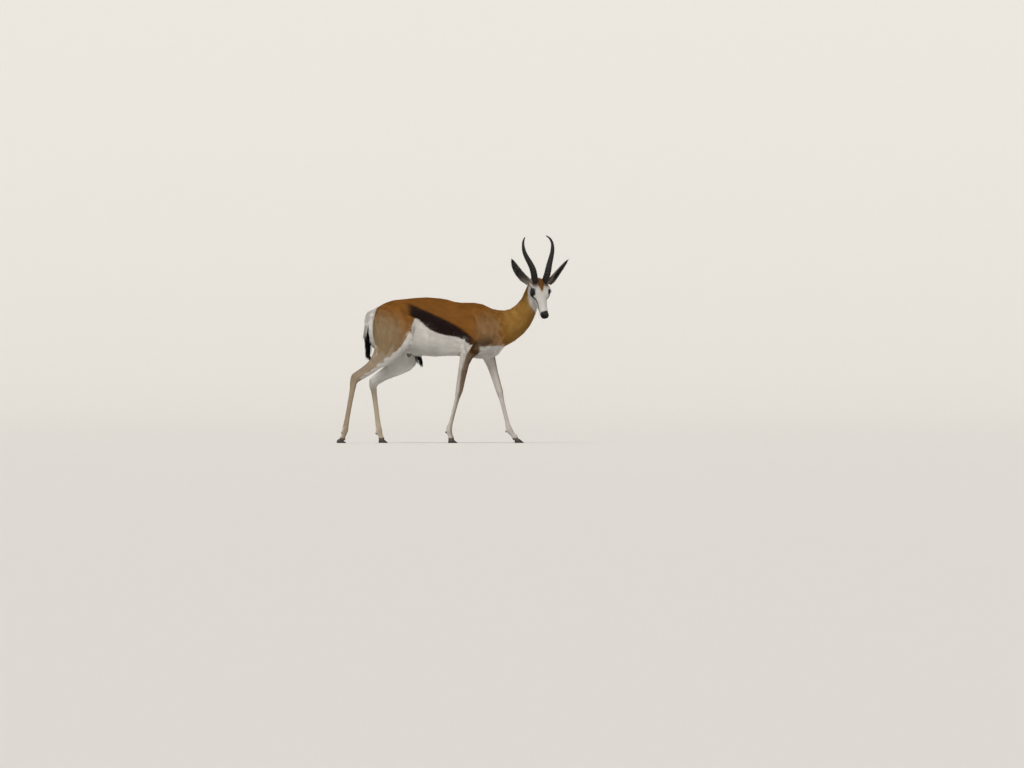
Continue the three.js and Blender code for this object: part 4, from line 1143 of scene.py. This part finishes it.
def lie_of_coat(points, normals, labels):
    """The way the hair points at each place, along the surface."""
    p = points / MM
    z = p[:, 2]
    flow = np.tile([-1.0, 0.0, -0.28], (len(p), 1))

    def blend(direction, share):
        flow[:] += (np.asarray(direction) - flow) * share[:, None]

    blend((-0.55, 0, -0.85), is_label(labels, "thigh", "shoulder") * ramp(z, 740, 560))
    blend((-0.12, 0, -1.0), is_label(labels, "cannon", "pastern", "forearm", "gaskin"))
    blend((-0.8, 0, -0.6), is_label(labels, "gaskin") * ramp(z, 380, 470))
    blend(unit(np.array(CHEST) - p), is_label(labels, "neck"))
    blend(-TO_NOSE, is_label(labels, "head"))
    for side in SIDES:
        blend(EARS[side][1], is_label(labels, f"ear_{side}"))
    blend((-0.1, 0, -1), is_label(labels, "tail", "scrotum"))
    blend((0.5, 0, -0.8), is_label(labels, "sheath"))
    along = flow - normals * np.sum(flow * normals, axis=1, keepdims=True)
    return unit(along)


class Surface:
    """A triangulated skin that tufts are rooted on."""

    def __init__(self, mesh, labels):
        mesh.calc_loop_triangles()
        self.corners = read_all(mesh.loop_triangles, "vertices", 3, np.int32)
        loops = read_all(mesh.loop_triangles, "loops", 3, np.int32)
        self.uv = read_all(mesh.uv_layers.active.uv, "vector", 2)[loops]
        self.points = mesh_points(mesh)
        self.normals = mesh_normals(mesh)
        self.labels = labels
        a, b, c = (self.points[self.corners[:, k]] for k in range(3))
        self.areas = np.linalg.norm(np.cross(b - a, c - a), axis=1) / 2 / MM**2

    def roots(self, density):
        """Random places, with a density for each triangle in tufts for each square millimetre."""
        wanted = self.areas * density
        count = np.floor(wanted + rng.random(len(wanted))).astype(int)
        triangle = np.repeat(np.arange(len(wanted)), count)
        share = rng.dirichlet((1, 1, 1), len(triangle))
        corners = self.corners[triangle]
        points = np.einsum("nk,nkj->nj", share, self.points[corners])
        normals = unit(np.einsum("nk,nkj->nj", share, self.normals[corners]))
        uv = np.einsum("nk,nkj->nj", share, self.uv[triangle])
        return points, normals, self.labels[corners[:, 0]], uv

    def roots_where(self, mask, density):
        """Random places on the triangles where a mask over the vertices is true."""
        return self.roots(mask[self.corners[:, 0]] * density)


# The size of a tuft's patch on the skin's layout, the skin's share in how hair is shaded, and the limits of
# the hair's colours

OF_BAKE_PATCH = 0.003
SKIN_SHARE = 0.8
HAIR_DARKEST, HAIR_PALEST = 0.002, 0.92


def mesh_of(name, points, faces):
    """A mesh of triangles from arrays, shaded smooth."""
    mesh = bpy.data.meshes.new(name)
    mesh.vertices.add(len(points))
    mesh.vertices.foreach_set("co", points.astype(np.float32).ravel())
    mesh.loops.add(faces.size)
    mesh.loops.foreach_set("vertex_index", faces.astype(np.int32).ravel())
    mesh.polygons.add(len(faces))
    mesh.polygons.foreach_set("loop_start", np.arange(0, faces.size, 3, dtype=np.int32))
    mesh.polygons.foreach_set("use_smooth", np.ones(len(faces), bool))
    mesh.update()
    return mesh


def lie_flat(mesh, normals):
    """Shades hair mostly as the skin under it is shaded, so that a short coat looks smooth and close."""
    mixed = unit(normals * SKIN_SHARE + mesh_normals(mesh) * (1 - SKIN_SHARE))
    mesh.normals_split_custom_set_from_vertices(mixed)


def add_bake_map(mesh, faces, uv, offsets):
    """Each tuft's corners as a small patch at its root's place on the skin's layout."""
    layer = mesh.uv_layers.new(name="OFBake")
    patch = uv[:, None, :] + (offsets * OF_BAKE_PATCH)[None]
    layer.uv.foreach_set("vector", patch.reshape(-1, 2)[faces.ravel()].astype(np.float32).ravel())


# A tuft: four corners, its thickness as a share of its width, and how deep its root sits in mm

TUFT_FACES = np.array([(0, 1, 3), (1, 2, 3), (2, 0, 3), (0, 2, 1)])
TUFT_PATCH = np.array([(-0.5, -0.4), (0.5, -0.4), (0, 0.5), (0, 0)])
TUFT_SHADES = np.array([0.84, 0.84, 1.0, 1.05])
TUFT_THICKNESS = 0.18
SINK = 0.3


def tuft_mesh(name, hair, part):
    """Flat tapered blades, each a closed spike of four faces."""
    root, normal, along = hair["root"][part], hair["normal"][part], hair["along"][part]
    length, width, lift = (hair[key][part][:, None] * MM for key in ("length", "width", "lift"))
    half = np.cross(normal, along) * width * 0.5
    top = normal * width * TUFT_THICKNESS
    deep = normal * SINK * MM
    tip = root + along * length + normal * lift
    points = np.stack([root - half - deep, root + half - deep, root + top, tip], axis=1).reshape(-1, 3)
    faces = (np.arange(len(root))[:, None, None] * len(TUFT_SHADES) + TUFT_FACES).reshape(-1, 3)
    mesh = mesh_of(name, points, faces)
    lie_flat(mesh, np.repeat(normal, len(TUFT_SHADES), axis=0))
    colours = (hair["colour"][part][:, None] * TUFT_SHADES[None, :, None]).reshape(-1, 3)
    set_colours(mesh, np.clip(colours, HAIR_DARKEST, HAIR_PALEST))
    add_bake_map(mesh, faces, hair["uv"][part], TUFT_PATCH)
    return mesh


# A lock: rings of three corners at stops along it, and one corner at its tip

LOCK_STOPS = (0.0, 0.3, 0.65)
LOCK_CORNERS = 10
LOCK_PATCH = np.array([(0.45 * math.cos(a), 0.45 * math.sin(a)) for a in np.arange(LOCK_CORNERS) * 2.4])


def lock_faces():
    """The root's face, the sides between the rings, and the faces round the tip."""
    faces = [(0, 2, 1)]
    for low in (0, 3):
        for one, two in ((low, low + 1), (low + 1, low + 2), (low + 2, low)):
            faces += [(one, two, one + 3), (two, two + 3, one + 3)]
    return np.array(faces + [(6, 7, 9), (7, 8, 9), (8, 6, 9)])


def lock_mesh(name, hair, bow):
    """Long bent strands, each a closed three-sided tube that ends in a point."""
    root, normal, along = hair["root"], hair["normal"], hair["along"]
    length, width = (hair[key][:, None] * MM for key in ("length", "width"))
    half = np.cross(normal, along) * width * 0.5
    under = normal * width * 0.3
    rows = []
    for stop in LOCK_STOPS:
        centre = root + along * length * stop + normal * length * bow[:, None] * stop * (1 - stop) * 4
        size = 1.0 - 0.45 * stop
        rows += [centre - half * size - under, centre + half * size - under,
                 centre + normal * width * 0.35 * size]
    points = np.stack(rows + [root + along * length], axis=1).reshape(-1, 3)
    faces = (np.arange(len(root))[:, None, None] * LOCK_CORNERS + lock_faces()).reshape(-1, 3)
    mesh = mesh_of(name, points, faces)
    set_colours(mesh, np.repeat(np.clip(hair["colour"], HAIR_DARKEST, HAIR_PALEST), LOCK_CORNERS, axis=0))
    add_bake_map(mesh, faces, hair["uv"], LOCK_PATCH)
    return mesh


def add_locks(name, hair, bow):
    """A piece of locks, with a bow for each or one for all."""
    bow = np.broadcast_to(bow, len(hair["root"]))
    new_piece(name, lock_mesh(name, hair, bow), COAT_FINISH)


# The least and most that a tuft's length, width, lift and colour are multiplied by

LENGTH_RANGE, WIDTH_RANGE = (0.7, 1.2), (0.75, 1.2)
LIFT_RANGE, SHADE_RANGE = (0.3, 1.5), (0.9, 1.12)


def hair_at(roots, longer=1.0, spread=0.16):
    """The hair's directions, sizes and colours at roots taken from the skin."""
    points, normals, labels, uv = roots
    rows = COAT_TABLE[labels]
    count = len(points)
    along = lie_of_coat(points, normals, labels)
    along = unit(along + np.cross(normals, along) * rng.normal(0, spread, count)[:, None])
    bare = 1 - 0.5 * ramp(in_head(points)[:, 0], 100, 132) * is_label(labels, "head")
    length = rows[:, HAIR_LENGTH] * rng.uniform(*LENGTH_RANGE, count) * bare * longer
    colour = coat_colour(points + along * (0.5 * length * MM)[:, None], normals, labels)
    return {
        "root": points, "normal": normals, "along": along, "uv": uv, "length": length,
        "width": rows[:, HAIR_WIDTH] * rng.uniform(*WIDTH_RANGE, count),
        "lift": length * rows[:, HAIR_LIFT] * rng.uniform(*LIFT_RANGE, count),
        "colour": colour * rng.uniform(*SHADE_RANGE, count)[:, None],
    }


# Where no tufts stand: how far out from the opening of the lids and from the eyeball and nostril in mm

LID_CLEARANCE, EYE_CLEARANCE, NOSTRIL_CLEARANCE = 1.2, 9, 4.5


def clear_of_lids(points):
    """Which points lie clear of the eyeballs, the lids' edges, the nostrils and the nose's bare skin."""
    clear = np.ones(len(points), bool)
    for side in SIDES:
        away = points - EYES[side]
        reach = np.linalg.norm(away, axis=1)
        almond, _ = almond_of(away / reach[:, None])
        clear &= (almond > LID_CLEARANCE) | (reach > (EYE_RADIUS + EYE_CLEARANCE) * MM)
    h = in_head(points)
    leather = (h[:, 0] > 147) & (h[:, 2] > -35) & (np.abs(h[:, 1]) < 22)
    return clear & ~leather & (from_nostril(h) > NOSTRIL_CLEARANCE)


MOST_TUFTS = 48000


def make_coat(surface):
    """The whole coat, split into pieces that each stay well under the limit of triangles."""
    label = surface.labels[surface.corners[:, 0]]
    roots = surface.roots(COAT_TABLE[label, HAIR_DENSITY])
    clear = clear_of_lids(roots[0])
    hair = hair_at([values[clear] for values in roots])
    order = np.argsort(hair["root"][:, 0], kind="stable")
    pieces = math.ceil(len(order) / MOST_TUFTS)
    for number, part in enumerate(np.array_split(order, pieces), 1):
        new_piece(f"coat_{number}", tuft_mesh(f"coat_{number}", hair, part), COAT_FINISH)


# The locks: strands for each square millimetre, and the heights in mm where they start and end. Then the
# least and most length in mm, and the bow as a share of the length.

TAIL_DENSITY, TAIL_START, TAIL_END = 0.11, 660, 444.0
WISP_DENSITY, WISP_START, WISP_END = 0.12, 472, 404.0
EAR_DENSITY, LASH_DENSITY, WHISKER_DENSITY = 0.05, 1.2, 0.009
TAIL_LENGTHS, WISP_LENGTHS, LASH_LENGTHS, WHISKER_LENGTHS = (14, 95), (10, 46), (5, 8), (12, 26)
TAIL_BOWS, WISP_BOW, EAR_BOW, LASH_BOW = (0.0, 0.035), 0.03, 0.08, -0.06
LASH_WIDTH, WHISKER_WIDTH = 0.45, 0.4


def make_tail_locks(surface):
    """The long hair of the tail's brush, hanging in bent strands that end at many heights."""
    on_brush = is_label(surface.labels, "tail") & (surface.points[:, 2] / MM < TAIL_START)
    hair = hair_at(surface.roots_where(on_brush, TAIL_DENSITY), spread=0.10)
    height = hair["root"][:, 2] / MM
    count = len(height)
    hair["length"] = np.clip((height - TAIL_END) * rng.uniform(0.55, 1.0, count), *TAIL_LENGTHS)
    hair["width"] = rng.uniform(1.3, 2.2, count)
    out = hair["normal"] * rng.uniform(-0.02, 0.09, count)[:, None]
    hair["along"] = unit(np.array([-0.06, 0, -1.0]) + out)
    add_locks("tail_locks", hair, rng.uniform(*TAIL_BOWS, count))


def make_sheath_locks(surface):
    """The dark wisp under the belly."""
    low = is_label(surface.labels, "sheath") & (surface.points[:, 2] / MM < WISP_START)
    hair = hair_at(surface.roots_where(low, WISP_DENSITY), spread=0.06)
    height = hair["root"][:, 2] / MM
    hair["length"] = np.clip((height - WISP_END) * rng.uniform(0.6, 1.0, len(height)), *WISP_LENGTHS)
    hair["along"] = unit(np.array([0.18, 0, -1.0]) + hair["normal"] * 0.05)
    hair["colour"] = np.tile(BLACK, (len(height), 1))
    add_locks("sheath_locks", hair, WISP_BOW)


def make_ear_locks(surface):
    """Paler hair that lies along the insides of the ears."""
    mask = np.zeros(len(surface.points), bool)
    for side in SIDES:
        root, along, facing, length = EARS[side]
        share = (surface.points - root) @ along / length
        inside = (surface.normals @ facing > 0.1) & (share > 0.08) & (share < 0.8)
        mask |= is_label(surface.labels, f"ear_{side}") & inside
    hair = hair_at(surface.roots_where(mask, EAR_DENSITY), longer=2.2, spread=0.12)
    hair["along"] = unit(hair["along"] + hair["normal"] * 0.10)
    hair["width"] *= 0.7
    count = len(hair["root"])
    hair["colour"] = np.tile(EAR_HAIR, (count, 1)) * rng.uniform(0.7, 1.1, count)[:, None]
    add_locks("ear_locks", hair, EAR_BOW)


def standing(roots, spread, leaning, lengths, width):
    """Fine stiff hairs that stand out from the skin and lean one way."""
    hair = hair_at(roots, spread=spread)
    count = len(hair["root"])
    hair["along"] = unit(hair["normal"] + leaning)
    hair["length"], hair["width"] = rng.uniform(*lengths, count), np.full(count, width)
    return hair


def make_lashes(surface):
    """Lashes along the upper lids and whiskers on the muzzle and chin."""
    h = in_head(surface.points)
    head = is_label(surface.labels, "head")
    lid = np.zeros(len(h), bool)
    for side in SIDES:
        away = surface.points - EYES[side]
        reach = np.linalg.norm(away, axis=1)
        almond, over = almond_of(away / reach[:, None])
        lid |= (almond > 1.04) & (almond < 1.16) & (over > 0.12) & (reach < (EYE_RADIUS + 4) * MM)
    muzzle = head & (h[:, 0] > 100) & (h[:, 0] < 146) & (h[:, 2] < -18) & (h[:, 2] > -52)
    lash_roots = surface.roots_where(lid & head, LASH_DENSITY)
    lashes = standing(lash_roots, 0.1, TO_CROWN * 0.55, LASH_LENGTHS, LASH_WIDTH)
    whisker_roots = surface.roots_where(muzzle, WHISKER_DENSITY)
    whiskers = standing(whisker_roots, 0.3, TO_NOSE * 0.5, WHISKER_LENGTHS, WHISKER_WIDTH)
    both = {key: np.concatenate([lashes[key], whiskers[key]]) for key in lashes}
    both["colour"][:] = BLACK
    add_locks("lashes", both, LASH_BOW)


# Build the skin and its coat

skin_mesh, skin_labels = make_skin()
skin = new_piece("skin", skin_mesh, SKIN_FINISH)
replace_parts(skin, *SKIN_NODES)
shade_smooth(skin_mesh)
set_colours(skin_mesh, coat_colour(mesh_points(skin_mesh), mesh_normals(skin_mesh), skin_labels))


LAYOUT_ANGLE, LAYOUT_MARGIN = math.radians(70), 0.002


def unwrap(piece):
    """Gives a piece a flat layout, which the coat's tufts take their places in the textures from."""
    piece.data.uv_layers.new(name="layout")
    bpy.ops.object.select_all(action="DESELECT")
    bpy.context.view_layer.objects.active = piece
    piece.select_set(True)
    bpy.ops.object.mode_set(mode="EDIT")
    bpy.ops.mesh.select_all(action="SELECT")
    bpy.ops.uv.smart_project(angle_limit=LAYOUT_ANGLE, island_margin=LAYOUT_MARGIN)
    bpy.ops.object.mode_set(mode="OBJECT")


unwrap(skin)
surface = Surface(skin.data, skin_labels)
for make in (make_coat, make_tail_locks, make_sheath_locks, make_ear_locks, make_lashes):
    make(surface)

# Camera, floor and light, in metres

FIELD_WIDTH = 5.516
CAMERA_DISTANCE = 65.0
SENSOR = 36.0
VIEW_CENTRE = Vector((0.319, 0, 0.318))
FLOOR_HALF = 400
SWEEP_AT, WALL_HEIGHT, SWEEP_STEP = 40, 90, 2.4
SWEEP_TURNS = np.radians(np.arange(2, 92, 4))
SKY_COLOUR, SKY_STRENGTH = (1.0, 0.985, 0.96, 1), 0.62
SUN_COLOUR, SUN_STRENGTH, SUN_ANGLE = (1.0, 0.96, 0.9), 1.8, math.radians(20)
SUN_TURN = [math.radians(angle) for angle in (46, 6, -20)]


def make_camera():
    camera = linked("camera", bpy.data.cameras.new("camera"))
    camera.data.sensor_width = SENSOR
    camera.data.lens = SENSOR * CAMERA_DISTANCE / FIELD_WIDTH
    camera.data.clip_end = FLOOR_HALF
    camera.location = VIEW_CENTRE - Vector((0, CAMERA_DISTANCE, 0))
    camera.rotation_euler = (math.radians(90), 0, 0)
    bpy.context.scene.camera = camera


def make_floor():
    """A pale sweep: a floor that curves up into a wall far behind."""
    bm = bmesh.new()
    corners = [bm.verts.new(co) for co in ((-FLOOR_HALF, -FLOOR_HALF, 0), (FLOOR_HALF, -FLOOR_HALF, 0))]
    edges = [bm.edges.new(corners)]
    curve = [(0, SWEEP_STEP * math.cos(turn), SWEEP_STEP * math.sin(turn)) for turn in SWEEP_TURNS]
    for step in [(0, FLOOR_HALF + SWEEP_AT, 0), *curve, (0, 0, WALL_HEIGHT)]:
        verts, edges = extruded(bm, edges)
        bmesh.ops.translate(bm, verts=verts, vec=step)
    bmesh.ops.recalc_face_normals(bm, faces=bm.faces)
    mesh = mesh_from(bm, "floor")
    shade_smooth(mesh)
    mesh.materials.append(new_material("pale_floor", (0.70, 0.69, 0.67), 0.9, 0.0))
    floor = linked("floor", mesh)


def make_lights():
    world = bpy.data.worlds.new("studio")
    bpy.context.scene.world = world
    world.use_nodes = True
    sky = world.node_tree.nodes["Background"].inputs
    sky["Color"].default_value = SKY_COLOUR
    sky["Strength"].default_value = SKY_STRENGTH
    sun = linked("key", bpy.data.lights.new("key", "SUN"))
    sun.data.energy = SUN_STRENGTH
    sun.data.angle = SUN_ANGLE
    sun.data.color = SUN_COLOUR
    sun.rotation_euler = SUN_TURN
    bpy.context.scene.view_settings.view_transform = "Standard"


make_camera()
make_floor()
make_lights()
